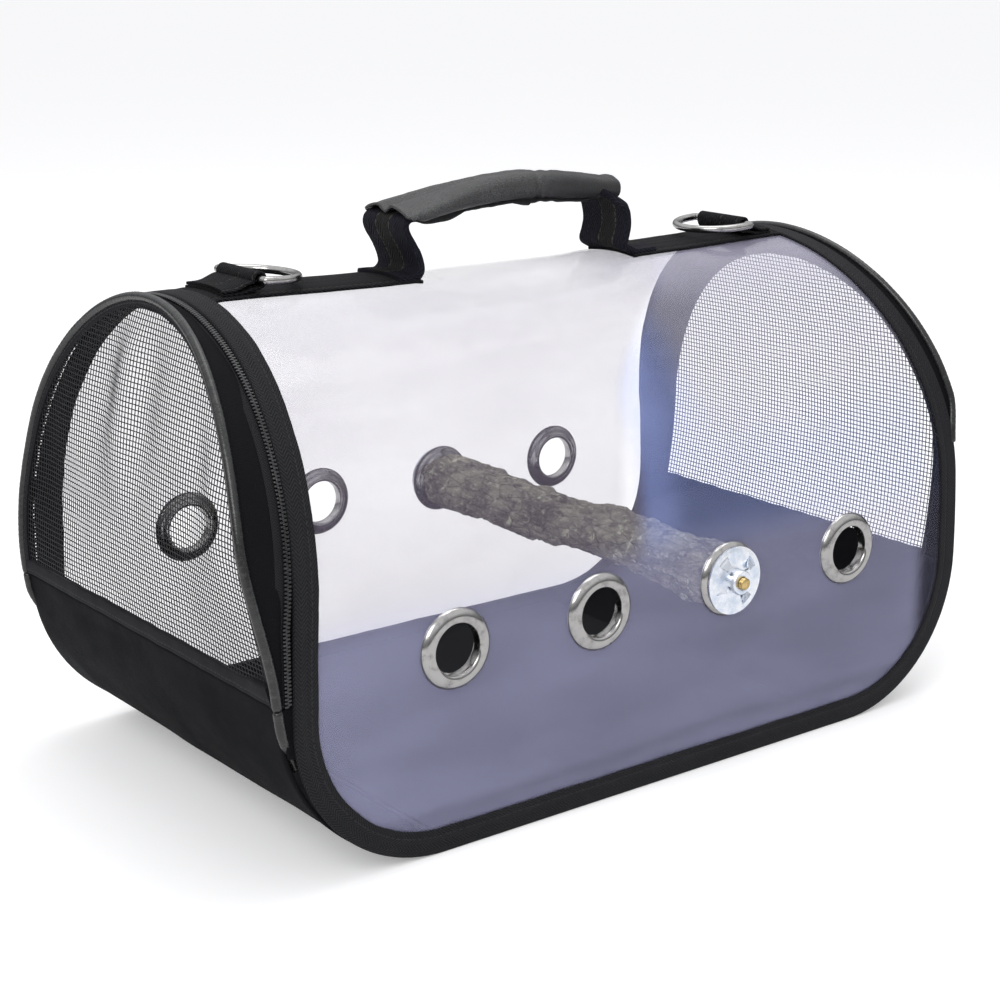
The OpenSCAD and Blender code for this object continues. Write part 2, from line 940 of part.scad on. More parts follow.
// a leg of doubled webbing that folds at both ends
module handle_leg(side) {
    leg_w = webbing_w - 2;
    color(black)
        translate([side * leg_x, 0, 0])
            along_y(-leg_w / 2, leg_w / 2) {
                translate([0, leg_foot_z])
                    circle(r = leg_t / 2);
                translate([0, leg_head_z])
                    circle(r = leg_t / 2);
                translate([-leg_t / 2, leg_foot_z])
                    square([leg_t, leg_len]);
            }
}

module left_handle_leg() {
    handle_leg(LEFT);
}

module right_handle_leg() {
    handle_leg(RIGHT);
}

// the grip's line rises from the legs to its middle along one arc
grip_arc_r = lean_arc_r(grip_len / 2, grip_rise);
function grip_z(x) = sqrt(pow(grip_arc_r, 2) - x * x) - sqrt(pow(grip_arc_r, 2) - leg_x * leg_x);
// how far the wrap is folded round the webbing: 0 at the open ends, 1 in the middle
function fold_of(x) = pow(cos(90 * pow(abs(2 * x / grip_len), 1.6)), 0.8);
// how far the folded wrap sags under the line
wrap_sag = 2;

module core_arc() {
    translate([0, grip_foot_z + wrap_t + core_t / 2 - sqrt(pow(grip_arc_r, 2) - leg_x * leg_x)])
        difference() {
            circle(r = grip_arc_r + core_t, $fn = arc_fn);
            circle(r = grip_arc_r, $fn = arc_fn);
        }
}

// the folded webbing inside the grip
module handle_core() {
    color(black)
        intersection() {
            along_y(-core_w / 2, core_w / 2)
                core_arc();
            translate([-grip_len / 2, -webbing_w, leg_head_z])
                cube([grip_len, 2 * webbing_w, 4 * grip_h]);
        }
}

// the leatherette wrap: flat and wide at its ends, folded round and narrow in the middle
function wrap_ring(x, sides) = let (
        k = fold_of(x),
        w = (webbing_w + 2) * (1 - k) + grip_w * k,
        h = wrap_end_h * (1 - k) + grip_h * k,
        z = grip_foot_z + grip_z(x) + h / 2 - wrap_sag * (k - fold_of(leg_x)))
    [for (j = [0:sides - 1]) let (
            a = -360 * (j + 0.5) / sides,
            c = cos(a),
            s = sin(a))
        [x, w / 2 * sign(c) * pow(abs(c), 0.75), z + h / 2 * sign(s) * pow(abs(s), 0.75)]];

module handle_wrap() {
    rings = 24;
    sides = 20;
    color([0.17, 0.17, 0.18])
        difference() {
            skin([for (i = [0:rings]) wrap_ring(-grip_len / 2 + grip_len * i / rings, sides)]);
            along_y(-core_w / 2, core_w / 2)
                core_arc();
        }
}

// ============ drawing ============

clear_wall();
left_binding();
right_binding();
front_hem();
back_hem();
base_cloth();
left_end_panel();
right_end_panel();
base_board();
floor_lining();
left_gusset();
zip_tape();
zip_body_half();
base_piping();
right_gusset();
right_piping();
right_border();
right_net();
door_strip();
zip_door_half();
door_piping();
door_net();
door_hem();
zip_slider();
zip_pull_tab();
front_eyelets();
front_eyelet_washers();
back_eyelets();
back_eyelet_washers();
perch_branch();
perch_studs();
front_perch_nut();
back_perch_nut();
left_strap();
right_strap();
left_ring_tab();
right_ring_tab();
left_strap_ring();
right_strap_ring();
left_handle_leg();
right_handle_leg();
handle_core();
handle_wrap();
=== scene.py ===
import bpy
import bmesh
from math import sin, cos, tan, pi, sqrt, radians, asin, hypot
from mathutils import Vector, Matrix, noise


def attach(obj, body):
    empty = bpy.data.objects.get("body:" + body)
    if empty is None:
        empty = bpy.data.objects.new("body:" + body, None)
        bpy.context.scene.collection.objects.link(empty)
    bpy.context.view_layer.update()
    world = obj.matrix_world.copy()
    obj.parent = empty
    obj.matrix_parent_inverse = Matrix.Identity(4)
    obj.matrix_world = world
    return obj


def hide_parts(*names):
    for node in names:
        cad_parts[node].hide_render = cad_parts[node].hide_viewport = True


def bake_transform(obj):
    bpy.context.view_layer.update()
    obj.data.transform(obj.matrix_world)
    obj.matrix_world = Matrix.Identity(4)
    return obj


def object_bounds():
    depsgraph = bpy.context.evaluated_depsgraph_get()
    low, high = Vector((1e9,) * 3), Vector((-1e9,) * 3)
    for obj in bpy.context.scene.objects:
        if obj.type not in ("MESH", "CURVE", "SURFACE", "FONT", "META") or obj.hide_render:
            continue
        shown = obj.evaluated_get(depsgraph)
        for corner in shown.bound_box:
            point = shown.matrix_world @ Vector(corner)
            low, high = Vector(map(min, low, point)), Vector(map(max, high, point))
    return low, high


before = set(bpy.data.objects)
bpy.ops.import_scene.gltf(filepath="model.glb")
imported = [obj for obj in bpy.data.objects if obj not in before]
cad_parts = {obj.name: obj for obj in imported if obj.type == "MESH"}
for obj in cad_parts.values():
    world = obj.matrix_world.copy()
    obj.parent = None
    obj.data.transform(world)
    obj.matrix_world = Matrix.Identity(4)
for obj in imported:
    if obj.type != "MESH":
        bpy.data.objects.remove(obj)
cad_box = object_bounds()

# ---- Camera and studio ----
# A table-height view of the front wall and the zipped door, on a pale sweep of paper under
# large soft lamps. Sizes in this file are millimetres until a point is placed.
mm = 0.001
scene = bpy.context.scene
scene.view_settings.view_transform = "Standard"
eye = Vector((-0.6293, -0.8094, 0.4016))
aim = Vector((0.0, 0.0, 0.1434))
camera_roll = radians(0.11)
view_camera = bpy.data.cameras.new("view_camera")
view_camera.lens = 73.2
view_camera.sensor_width = 36
view_camera.shift_x = -0.0114
view_camera.shift_y = -0.051
view_camera.clip_end = 30
tripod = bpy.data.objects.new("tripod", view_camera)
tripod.rotation_euler = ((aim - eye).to_track_quat("-Z", "Y").to_matrix()
                         @ Matrix.Rotation(camera_roll, 3, "Z")).to_euler()
tripod.location = eye
scene.collection.objects.link(tripod)
scene.camera = tripod


def lamp(name, place, target, size, watts):
    """A square soft lamp that faces a point on the carrier."""
    light = bpy.data.lights.new(name, "AREA")
    light.size = size
    light.energy = watts
    ob = bpy.data.objects.new(name, light)
    ob.location = place
    ob.rotation_euler = (Vector(target) - Vector(place)).to_track_quat("-Z", "Y").to_euler()
    scene.collection.objects.link(ob)


lamp("window_left", (-1.6, -0.9, 1.5), (0, 0, 0.1), 1.2, 17)
lamp("soft_top", (0.3, 0.2, 2.0), (0, 0, 0.1), 1.4, 12)

studio = bpy.data.worlds.new("studio")
studio.use_nodes = True
scene.world = studio
air = studio.node_tree


def join(tree, *links):
    """Wires in a node tree, each from an output to an input."""
    for source, target in links:
        tree.links.new(source, target)


def glow(node, colour, strength):
    """One Background node's colour and strength."""
    node.inputs["Color"].default_value = (*colour, 1)
    node.inputs["Strength"].default_value = strength
    return node


# the camera and the clear sheet see plain white, mirrors see a room that darkens downwards
ambient = glow(air.nodes["Background"], (0.98, 0.985, 1.0), 0.72)
seen = glow(air.nodes.new("ShaderNodeBackground"), (1, 1, 1), 1.0)
mirrored = glow(air.nodes.new("ShaderNodeBackground"), (0.97, 0.98, 1), 1.0)
path = air.nodes.new("ShaderNodeLightPath")
either = air.nodes.new("ShaderNodeMath")
either.operation = "MAXIMUM"
backdrop = air.nodes.new("ShaderNodeMixShader")
sheen = air.nodes.new("ShaderNodeMixShader")
towards = air.nodes.new("ShaderNodeSeparateXYZ")
rise = air.nodes.new("ShaderNodeMapRange")
for key, value in (("From Min", 0.02), ("From Max", 0.55), ("To Min", 0.12), ("To Max", 1.0)):
    rise.inputs[key].default_value = value
join(air, (path.outputs["Is Camera Ray"], either.inputs[0]), (path.outputs["Is Transmission Ray"], either.inputs[1]),
     (air.nodes.new("ShaderNodeTexCoord").outputs["Generated"], towards.inputs[0]),
     (towards.outputs["Z"], rise.inputs["Value"]), (rise.outputs["Result"], mirrored.inputs["Strength"]),
     (path.outputs["Is Glossy Ray"], sheen.inputs["Fac"]), (ambient.outputs[0], sheen.inputs[1]),
     (mirrored.outputs[0], sheen.inputs[2]), (either.outputs[0], backdrop.inputs["Fac"]),
     (sheen.outputs[0], backdrop.inputs[1]), (seen.outputs[0], backdrop.inputs[2]),
     (backdrop.outputs[0], air.nodes["World Output"].inputs["Surface"]))

bm = bmesh.new()
bmesh.ops.create_grid(bm, x_segments=2, y_segments=2, size=14)
paper_mesh = bpy.data.meshes.new("paper")
bm.to_mesh(paper_mesh)
bm.free()
paper = bpy.data.objects.new("paper", paper_mesh)
scene.collection.objects.link(paper)
paper_white = bpy.data.materials.new("paper_white")
paper_white.use_nodes = True
nt = paper_white.node_tree
shader = nt.nodes["Principled BSDF"]
shader.inputs["Base Color"].default_value = (0.93, 0.93, 0.935, 1)
shader.inputs["Roughness"].default_value = 0.9
shader.inputs["Specular IOR Level"].default_value = 0.1
shader.inputs["Emission Strength"].default_value = 1.0
ray = nt.nodes.new("ShaderNodeLightPath")
lift = nt.nodes.new("ShaderNodeMath")
lift.operation = "MULTIPLY"
lift.inputs[1].default_value = 0.27
join(nt, (ray.outputs["Is Camera Ray"], lift.inputs[0]), (lift.outputs[0], shader.inputs["Emission Color"]))
paper_mesh.materials.append(paper_white)

# ---- Clear wall ----
# One soft clear vinyl sheet, 0.8 mm thick, bent over the carrier as a barrel vault and cut with
# eight round holes for the eyelets. It has gone slightly milky and carries soft waves.
half_len = 210.0
arch_r = 121.0
spring_z = 123.0
body_h = 244.0
corner_r = 78.0
lean = {-1: 15.0, 1: 26.0}
sheet_t = 0.8
tape_t = 1.3
sag = 2.6
eyelet_z = 95.5
eyelet_hole_r = 15.3
eyelet_x = [-125.25, -41.75, 41.75, 125.25]
wall_len = 2 * spring_z + pi * arch_r


def lean_r(height, inwards):
    """Radius of an arc that starts upright and has moved inwards at that height."""
    return (height * height + inwards * inwards) / (2 * inwards)


def opening_x(side, z, inset=0.0):
    """Distance along X from the middle to the sheet's cut edge at height z."""
    if z >= corner_r:
        r = lean_r(body_h - corner_r, lean[side])
        return half_len - r + sqrt((r - inset) ** 2 - (z - corner_r) ** 2)
    return half_len - corner_r + sqrt(max((corner_r - inset) ** 2 - (corner_r - z) ** 2, 0))


def height_at(s):
    """Height of a point s along the sheet, from the front edge over the crown to the back."""
    if s < spring_z:
        return s
    if s > wall_len - spring_z:
        return wall_len - s
    return spring_z + arch_r * sin((s - spring_z) / arch_r)


def on_vault(x, s, d=0.0):
    """The point at x and s on the vault, d outside the clear sheet's outer face."""
    if s < spring_z:
        return Vector((x, -arch_r - d, s)) * mm
    if s > wall_len - spring_z:
        return Vector((x, arch_r + d, wall_len - s)) * mm
    a = (s - spring_z) / arch_r
    return Vector((x, -(arch_r + d) * cos(a), spring_z + (arch_r + d) * sin(a))) * mm


def soft(x, y, z=0.0, octaves=2):
    """Smooth noise from -1 to 1."""
    return noise.fractal((x, y, z), 1.0, 2.0, octaves)


def ease(x, a, b):
    """0 below a, 1 above b and smooth between."""
    t = min(max((x - a) / (b - a), 0.0), 1.0)
    return t * t * (3 - 2 * t)


def blank(cells_u, cells_v, lay=None):
    """A flat grid from 0 to 1 each way, with its own coordinates kept as a UV map in metres."""
    bm = bmesh.new()
    bmesh.ops.create_grid(bm, x_segments=cells_u, y_segments=cells_v, size=0.5)
    bmesh.ops.translate(bm, verts=bm.verts, vec=(0.5, 0.5, 0))
    uv = bm.loops.layers.uv.new("lay")
    for face in bm.faces:
        face.smooth = True
        for loop in face.loops:
            u, v = loop.vert.co.x, loop.vert.co.y
            loop[uv].uv = lay(u, v) if lay else (u, v)
    return bm


def place(bm, at, joined=False):
    """Each grid vertex moves to at(u, v); the edges that meet are merged."""
    for v in bm.verts:
        v.co = at(v.co.x, v.co.y)
    if joined:
        bmesh.ops.remove_doubles(bm, verts=bm.verts, dist=2e-6)
        bmesh.ops.recalc_face_normals(bm, faces=bm.faces)
    return bm


def even(bm):
    """Faces turned outwards and shaded smooth."""
    bmesh.ops.recalc_face_normals(bm, faces=bm.faces)
    for face in bm.faces:
        face.smooth = True


def outwards(bm, core=(0, 0, 0.11)):
    """An open sheet's faces turned away from the carrier's middle."""
    core = Vector(core)
    bm.normal_update()
    if sum(f.normal.dot(f.calc_center_median() - core) * f.calc_area() for f in bm.faces) < 0:
        bmesh.ops.reverse_faces(bm, faces=bm.faces)
    return bm


def piece(name, bm, body, material, slot, *nodes, sharp=None):
    """A finished mesh as an object that rides on a body, if one is named, and stands for CAD nodes."""
    mesh = bpy.data.meshes.new(name)
    bm.to_mesh(mesh)
    bm.free()
    mesh.materials.append(material)
    if sharp:
        mesh.set_sharp_from_angle(angle=radians(sharp))
    ob = bpy.data.objects.new(name, mesh)
    scene.collection.objects.link(ob)
    if body:
        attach(ob, body)
    if nodes:
        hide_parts(*nodes)
    return ob


def thicken(ob, wall, offset=-1.0):
    """A sheet's thickness, inwards from its face."""
    solid = ob.modifiers.new("thickness", "SOLIDIFY")
    solid.thickness = wall * mm
    solid.offset = offset
    solid.use_even_offset = True
    return ob


def finish(name, colour, roughness, **sockets):
    """A new Principled material; sockets are named as on the shader, with _ for spaces."""
    m = bpy.data.materials.new(name)
    m.use_nodes = True
    shader = m.node_tree.nodes["Principled BSDF"]
    shader.inputs["Base Color"].default_value = (*colour, 1)
    shader.inputs["Roughness"].default_value = roughness
    for key, value in sockets.items():
        shader.inputs[key.replace("_", " ")].default_value = value
    return m, m.node_tree, shader


def feed(shader, socket, value):
    """A node's output into a named input of the shader, or of a group's output."""
    target = shader.inputs[socket] if isinstance(shader, bpy.types.Node) else shader[socket]
    value.id_data.links.new(value, target)


def put(tree, kind, settings=(), **inputs):
    """One node; its inputs are named with _ for spaces, and each gets a value or another node's output."""
    node = tree.nodes.new("ShaderNode" + kind)
    for key, value in settings:
        setattr(node, key, value)
    for key, value in inputs.items():
        fill(node.inputs[key.replace("_", " ")], value)
    return node


def fill(socket, value):
    """A number, a colour or another node's output into an input."""
    if isinstance(value, bpy.types.NodeSocket):
        socket.id_data.links.new(value, socket)
    elif isinstance(value, tuple) and socket.type == "RGBA":
        socket.default_value = (*value[:3], 1)
    else:
        socket.default_value = value


def calc(operation, *values):
    """One Math node; each value is a number or a socket, and at least one is a socket."""
    tree = next(value for value in values if isinstance(value, bpy.types.NodeSocket)).id_data
    node = put(tree, "Math", [("operation", operation)])
    for socket, value in zip(node.inputs, values):
        fill(socket, value)
    return node.outputs[0]


def mul(a, b):
    """Product of two values; like add() and sub(), one Math node."""
    return calc("MULTIPLY", a, b)


def add(a, b):
    return calc("ADD", a, b)


def sub(a, b):
    return calc("SUBTRACT", a, b)


def ramp(value, low, high, a=0.0, b=1.0):
    """Smooth step of a value from a at low to b at high."""
    return put(value.id_data, "MapRange", [("interpolation_type", "SMOOTHSTEP")], Value=value, From_Min=low,
               From_Max=high, To_Min=a, To_Max=b).outputs["Result"]


def mix(factor, a, b):
    """A colour mixed from a to b."""
    node = put(factor.id_data, "Mix", [("data_type", "RGBA")])
    for i, value in ((0, factor), (6, a), (7, b)):
        fill(node.inputs[i], value)
    return node.outputs[2]


def grained(name, base, roughness, grain, low, high, bump=None, gloss=None, span=None, **sockets):
    """A finish whose colour follows one noise, and its relief or its roughness too.

    grain is the noise as for clouds(), span the part of it that the two colours share, bump is
    strength and distance, and gloss is as for ramp().
    """
    m, nt, shader = finish(name, base, roughness, **sockets)
    value = clouds(where(nt), *grain)
    feed(shader, "Base Color", mix(ramp(value, *span) if span else value, low, high))
    if gloss:
        feed(shader, "Roughness", ramp(value, *gloss))
    if bump:
        relief(shader, value, *bump)
    return m, nt, shader


def where(nt, kind="Object"):
    """Object coordinates, or the piece's own UV map, as a vector in metres."""
    return nt.nodes.new("ShaderNodeTexCoord").outputs[kind]


def stretched(at, scale):
    """Coordinates squeezed along their axes."""
    return put(at.id_data, "Mapping", Scale=scale, Vector=at).outputs[0] if scale else at


def clouds(at, scale, detail=3.0, rough=0.55, stretch=None):
    """Noise value; stretch squeezes it along an axis."""
    return put(at.id_data, "TexNoise", Scale=scale, Detail=detail, Roughness=rough,
               Vector=stretched(at, stretch)).outputs["Fac"]


def voronoi(at, scale, feature="F1", stretch=None):
    """Distance to the middles of a Voronoi pattern's cells, or to their edges."""
    return put(at.id_data, "TexVoronoi", [("feature", feature)], Scale=scale,
               Vector=stretched(at, stretch)).outputs["Distance"]


def relief(shader, height, strength, distance, under=None):
    """A Bump node for a height, into the shader's Normal or over another Bump."""
    node = put(height.id_data, "Bump", Strength=strength, Distance=distance, Height=height)
    if under:
        fill(node.inputs["Normal"], under)
    if shader:
        feed(shader, "Normal", node.outputs[0])
    return node.outputs[0]


def parts(vector):
    """A vector's X, Y and Z."""
    return put(vector.id_data, "SeparateXYZ", Vector=vector).outputs


# the haze is lilac-grey low on the front wall, blue towards the right end and thin elsewhere; along the crown it is
# whiter and thicker, a painted glare
clear_vinyl, nt, shader = finish("clear_vinyl", (0.5, 0.52, 0.8), 0.22, Alpha=0.16, IOR=1.5,
                                 Coat_Weight=0.6, Coat_Roughness=0.06)
at = where(nt)
x, y, z = parts(at)
drift = clouds(at, 9, 4, 0.6, (1.0, 1.0, 3.0))
milk = clouds(at, 26, 5, 0.65)
front = ramp(y, 0.03, -0.03)
up = ramp(z, 0.106, 0.132)
high = ramp(z, 0.140, 0.190)
bend = calc("MAXIMUM", sub(z, 0.180), 0.0)
edge_line = mul(mul(bend, bend), 27.0)
to_right = ramp(sub(x, edge_line), -0.022, -0.006)
to_right = mul(to_right, front)
net_zone = mul(mul(ramp(x, 0.012, 0.045), high), to_right)
near_edge = ramp(x, 0.176, 0.190)
# painted glare: along the crown the haze turns whiter and thicker, most over the right end
crown_glare = ramp(z, 0.218, 0.243)
low = mul(sub(1.0, up), front)
tone = mix(to_right, (0.36, 0.31, 0.42), (0.42, 0.51, 1.0))
tone = mix(mul(net_zone, 0.85), tone, (0.62, 0.59, 0.70))
tone = mix(mul(crown_glare, 0.6), tone, (0.56, 0.53, 0.66))
tone = mix(low, tone, (0.60, 0.60, 0.92))
feed(shader, "Base Color", tone)
band_up = mul(up, ramp(x, -0.004, 0.02, 0.10, 0.0))
blue = add(-0.005, add(band_up, mul(high, 0.05)))
veil = add(0.125, mul(to_right, blue))
glare_over_end = ramp(x, 0.0, 0.06, 0.02, 0.24)
veil = add(veil, mul(crown_glare, glare_over_end))
rise = mul(low, ramp(x, -0.20, -0.08, 0.105, 0.072))
veil = add(mul(veil, sub(1.0, mul(low, 0.15))), rise)
veil = mul(veil, sub(1.0, mul(near_edge, 0.85)))
veil = mul(veil, ramp(drift, 0.25, 0.75, 0.84, 1.14))
# a soft crease line low on the front wall, painted as a line of thinner haze: painted shade along the crease
line = add(0.019, mul(sub(clouds(at, 5, 2, 0.5), 0.5), 0.016))
off = calc("ABSOLUTE", sub(z, line))
crease = mul(ramp(off, 0.0055, 0.0005), front)
veil = mul(veil, sub(1.0, mul(crease, 0.16)))
feed(shader, "Alpha", add(veil, ramp(milk, 0.62, 0.85, 0.0, 0.03)))
feed(shader, "Roughness", ramp(milk, 0.4, 0.8, 0.14, 0.30))
relief(shader, clouds(at, 14, 2, 0.4), 0.35, 0.002)


def crown_sag(x, y):
    """The sheet gives a little along the crown, most under the handle."""
    return sag * (1 - ease(abs(x), 60, 200)) * (1 - ease(abs(y), 30, 100))


def on_sheet(u, v):
    """A grid point on the flat sheet as x, s and z, and the sheet's left and right edges there."""
    s = tape_t + (wall_len - 2 * tape_t) * v
    z = height_at(s)
    left, right = -opening_x(-1, z, tape_t), opening_x(1, z, tape_t)
    return left + (right - left) * u, s, z, left, right


def from_eyelet(x, z):
    """Distance to the middle of the nearest eyelet."""
    return min(hypot(x - ex, z - eyelet_z) for ex in eyelet_x)


def sheet_point(u, v):
    x, s, z, left, right = on_sheet(u, v)
    rim = min(x - left, right - x, s, wall_len - s)
    hole = from_eyelet(x, z)
    calm = ease(rim, 12, 50) * ease(hole, 20, 40) * (1 - ease(z, 236, 243) * ease(abs(x), 50, 64))
    wave = 0.9 * soft(x / 90, s / 120, 3) + 0.25 * soft(x / 25, s / 40, 7)
    p = on_vault(x, s, wave * calm - 0.9 * calm)
    p.z -= crown_sag(x, p.y / mm) * mm if z > spring_z else 0.0
    return p


def at_hole(u, v):
    x, s, z, _, _ = on_sheet(u, v)
    return not spring_z < s < wall_len - spring_z and from_eyelet(x, z) < eyelet_hole_r


bm = blank(144, 212, lambda u, v: (u * 0.42, v * wall_len * mm))
holes = [f for f in bm.faces if at_hole(*f.calc_center_median().xy)]
bmesh.ops.delete(bm, geom=holes, context="FACES")
place(bm, sheet_point)
clear_sheet = piece("clear_sheet", outwards(bm), "carrier", clear_vinyl, "clear_vinyl", "clear_wall")
thicken(clear_sheet, sheet_t)

# ---- Edge binding ----
# Woven herringbone tape folded over the whole cut edge of the clear sheet and sewn through with
# one row of stitches: up the two openings, over the crown and along both lower edges.
def edge_loop():
    """The sheet's outline on the unrolled sheet, once round, as points (x, s)."""
    corner = half_len - corner_r
    loop = []
    for side in (1, -1):
        # along the front edge and up the right opening, then along the back and up the left one
        first, way = (0.0, 1) if side > 0 else (wall_len, -1)
        for i in range(60):
            loop.append((side * (2 * corner * i / 60 - corner), first))
        for i in range(26):
            a = pi / 2 * i / 26
            loop.append((side * (corner + corner_r * sin(a)), first + way * corner_r * (1 - cos(a))))
        for i in range(190):
            s = first + way * (corner_r + (wall_len - 2 * corner_r) * i / 190)
            loop.append((side * opening_x(side, height_at(s)), s))
        for i in range(26):
            a = pi / 2 * i / 26
            loop.append((side * (corner + corner_r * cos(a)), first + way * (wall_len - corner_r * (1 - sin(a)))))
    return loop


def lengths(points, closed=False):
    """Distance along a line of points, in the points' own unit."""
    run = [0.0]
    ring = points + points[:1] if closed else points
    for a, b in zip(ring, ring[1:]):
        run.append(run[-1] + (Vector(b) - Vector(a)).length)
    return run


outline = edge_loop()
outline_run = lengths(outline, True)
tape_fold = [(12.0, 1.05), (11.6, 1.3), (8, 1.3), (4, 1.32), (1.6, 1.3), (0.5, 1.0), (0.0, 0.3), (0.0, -1.1),
             (0.5, -1.8), (1.6, -2.1), (6, -2.1), (11.6, -2.1), (12.0, -1.9), (12.0, -0.88), (6, -0.86),
             (1.4, -0.84), (1.4, 0.04), (6, 0.06), (12.0, 0.08)]
fold_run = lengths(tape_fold, True)


def inwards(i):
    """Unit step from the outline into the sheet."""
    n = len(outline)
    a, b = outline[(i - 1) % n], outline[(i + 1) % n]
    t = Vector((b[0] - a[0], b[1] - a[1])).normalized()
    return Vector((-t.y, t.x))


def tape_point(u, v):
    n, m = len(outline), len(tape_fold)
    i, j = round(u * n) % n, round(v * m) % m
    step, depth = tape_fold[j]
    run = outline_run[i]
    step += (0.35 * soft(run / 17, 1.5) if step > 8 else 0.0)
    if depth > 0.2:
        depth += 0.12 * soft(run / 6, 4) * ease(step, 1, 4)
    k = inwards(i)
    return on_vault(outline[i][0] + k.x * step, outline[i][1] + k.y * step, depth)


bm = blank(len(outline), len(tape_fold),
           lambda u, v: (outline_run[round(u * len(outline))] * mm, fold_run[round(v * len(tape_fold))] * mm))
place(bm, tape_point, joined=True)


def shader_group(name, inputs, outputs):
    """An empty node group with named sockets; returns its tree, its inputs and its outputs."""
    tree = bpy.data.node_groups.new(name, "ShaderNodeTree")
    for key, kind, value in inputs:
        socket = tree.interface.new_socket(key, in_out="INPUT", socket_type="NodeSocket" + kind)
        if value is not None:
            socket.default_value = value
    for key, kind in outputs:
        tree.interface.new_socket(key, in_out="OUTPUT", socket_type="NodeSocket" + kind)
    return tree, tree.nodes.new("NodeGroupInput").outputs, tree.nodes.new("NodeGroupOutput").inputs


def use(nt, tree, **values):
    """The group placed in a material, each value a number, colour or socket."""
    return put(nt, "Group", [("node_tree", tree)], **values).outputs


# chevron weave: slanting ribs that change hand from one column to the next
chevron_weave, g_in, g_out = shader_group(
    "Chevron weave",
    [("Lay", "Vector", None), ("Rib pitch", "Float", 0.0016), ("Column", "Float", 0.004),
     ("Slope", "Float", 1.0)],
    [("Height", "Float"), ("Thread", "Float")])
along, across, _ = parts(g_in["Lay"])
column = calc("DIVIDE", across, g_in["Column"])
zigzag = calc("ABSOLUTE", sub(calc("FRACT", column), 0.5))
shifted = add(along, mul(mul(zigzag, g_in["Column"]), g_in["Slope"]))
rib = calc("SINE", mul(calc("DIVIDE", shifted, g_in["Rib pitch"]), 2 * pi))
yarn = calc("SINE", mul(calc("DIVIDE", across, g_in["Rib pitch"]), 4 * pi))
height = add(mul(rib, 0.38), mul(yarn, 0.12))
feed(g_out, "Height", add(height, 0.5))
# Thread is highest on the rib crests and is used as a painted highlight there
feed(g_out, "Thread", ramp(rib, -0.4, 0.9))

# a row of stitches: short raised threads in a line along the piece
stitch_row, g_in, g_out = shader_group(
    "Stitch row",
    [("Lay", "Vector", None), ("Row", "Float", 0.0), ("Pitch", "Float", 0.003), ("Width", "Float", 0.0004)],
    [("Mask", "Float"), ("Height", "Float")])
along, across, _ = parts(g_in["Lay"])
off = calc("DIVIDE", sub(across, g_in["Row"]), g_in["Width"])
side = calc("MAXIMUM", sub(1.0, mul(off, off)), 0.0)
step = calc("ABSOLUTE", sub(calc("FRACT", calc("DIVIDE", along, g_in["Pitch"])), 0.5))
span = ramp(step, 0.42, 0.30)
mask = mul(calc("SQRT", side), span)
hollow = ramp(calc("ABSOLUTE", off), 3.5, 0.8)
feed(g_out, "Mask", mask)
feed(g_out, "Height", sub(mul(mask, 0.8), mul(hollow, 0.5)))

# faded, slightly dusty patches and lint on dark cloth
wear, g_in, g_out = shader_group(
    "Cloth wear",
    [("At", "Vector", None), ("Colour", "Color", (0.01, 0.01, 0.012, 1)), ("Faded", "Color", (0.03, 0.03, 0.033, 1)),
     ("Amount", "Float", 0.5)],
    [("Colour", "Color"), ("Patch", "Float")])
patch = ramp(clouds(g_in["At"], 30, 5, 0.6), 0.35, 0.75)
lint = ramp(clouds(g_in["At"], 900, 2, 0.5), 0.62, 0.80)
share = mul(add(mul(patch, 0.7), mul(lint, 0.35)), g_in["Amount"])
feed(g_out, "Colour", mix(share, g_in["Colour"], g_in["Faded"]))
feed(g_out, "Patch", patch)

black_tape, nt, shader = finish("black_tape", (0.012, 0.012, 0.014), 0.72, Specular_IOR_Level=0.2)
lay = where(nt, "UV")
ribs = use(nt, chevron_weave, Lay=lay, Rib_pitch=0.0019, Column=0.0058, Slope=1.3)
seam = use(nt, stitch_row, Lay=lay, Row=0.0034, Pitch=0.0034, Width=0.00038)
worn = use(nt, wear, At=where(nt), Colour=(0.0075, 0.0075, 0.009, 1), Faded=(0.022, 0.022, 0.025, 1), Amount=0.5)
# the rib crests are painted lighter, a painted highlight on the weave
body_colour = mix(ribs["Thread"], worn["Colour"], (0.021, 0.021, 0.024))
feed(shader, "Base Color", mix(seam["Mask"], body_colour, (0.03, 0.03, 0.033)))
first = relief(None, ribs["Height"], 0.85, 0.0005)
relief(shader, seam["Height"], 0.8, 0.0006, first)
piece("edge_binding", bm, "carrier", black_tape, "tape", "left_binding", "right_binding", "front_hem", "back_hem")

# ---- Base: bottom cloth, end panels, board and lining ----
# Black lined cloth. The bottom and the two lower end panels are sewn in one strip that turns up
# round both lower corners; a stiff board lies on it and a loose lining sheet on the board.
inner_r = 118.7
fold_z = 88.0
sill_z = 76.0
cloth_t = 1.6
bead_r = 2.2
end_bow = {-1: (lean_r(109, 16.0), 210 + 10.5), 1: (lean_r(109, 20.5), 210 + 0.5)}
end_corner = {-1: 88.0, 1: 80.0}
bulge_z = 135.0
door_out, door_in = 8.5, 2.5
corner_at = {}
joint_at = {}
for side in (-1, 1):
    r, widest = end_bow[side]
    low_r = end_corner[side]
    corner_at[side] = widest - r + sqrt((r - low_r) ** 2 - (bulge_z - low_r) ** 2)
    joint_at[side] = bulge_z - (bulge_z - low_r) / (r - low_r) * r


def door_turn(y, z):
    """The zipped-in door is soft: it stands off at the front wall and is drawn in at the back."""
    t = y / arch_r
    return (door_out * t - door_in * t * t) * ease(z, 92, 165)


def end_line(side, z):
    """Distance along X of an end's outer face at height z, and the face's outward direction."""
    r, widest = end_bow[side]
    if z > joint_at[side]:
        x = widest - r + sqrt(r * r - (z - bulge_z) ** 2)
        return x, (x - widest + r) / r, (z - bulge_z) / r
    low_r = end_corner[side]
    x = corner_at[side] + sqrt(max(low_r ** 2 - (z - low_r) ** 2, 0))
    return x, (x - corner_at[side]) / low_r, (z - low_r) / low_r


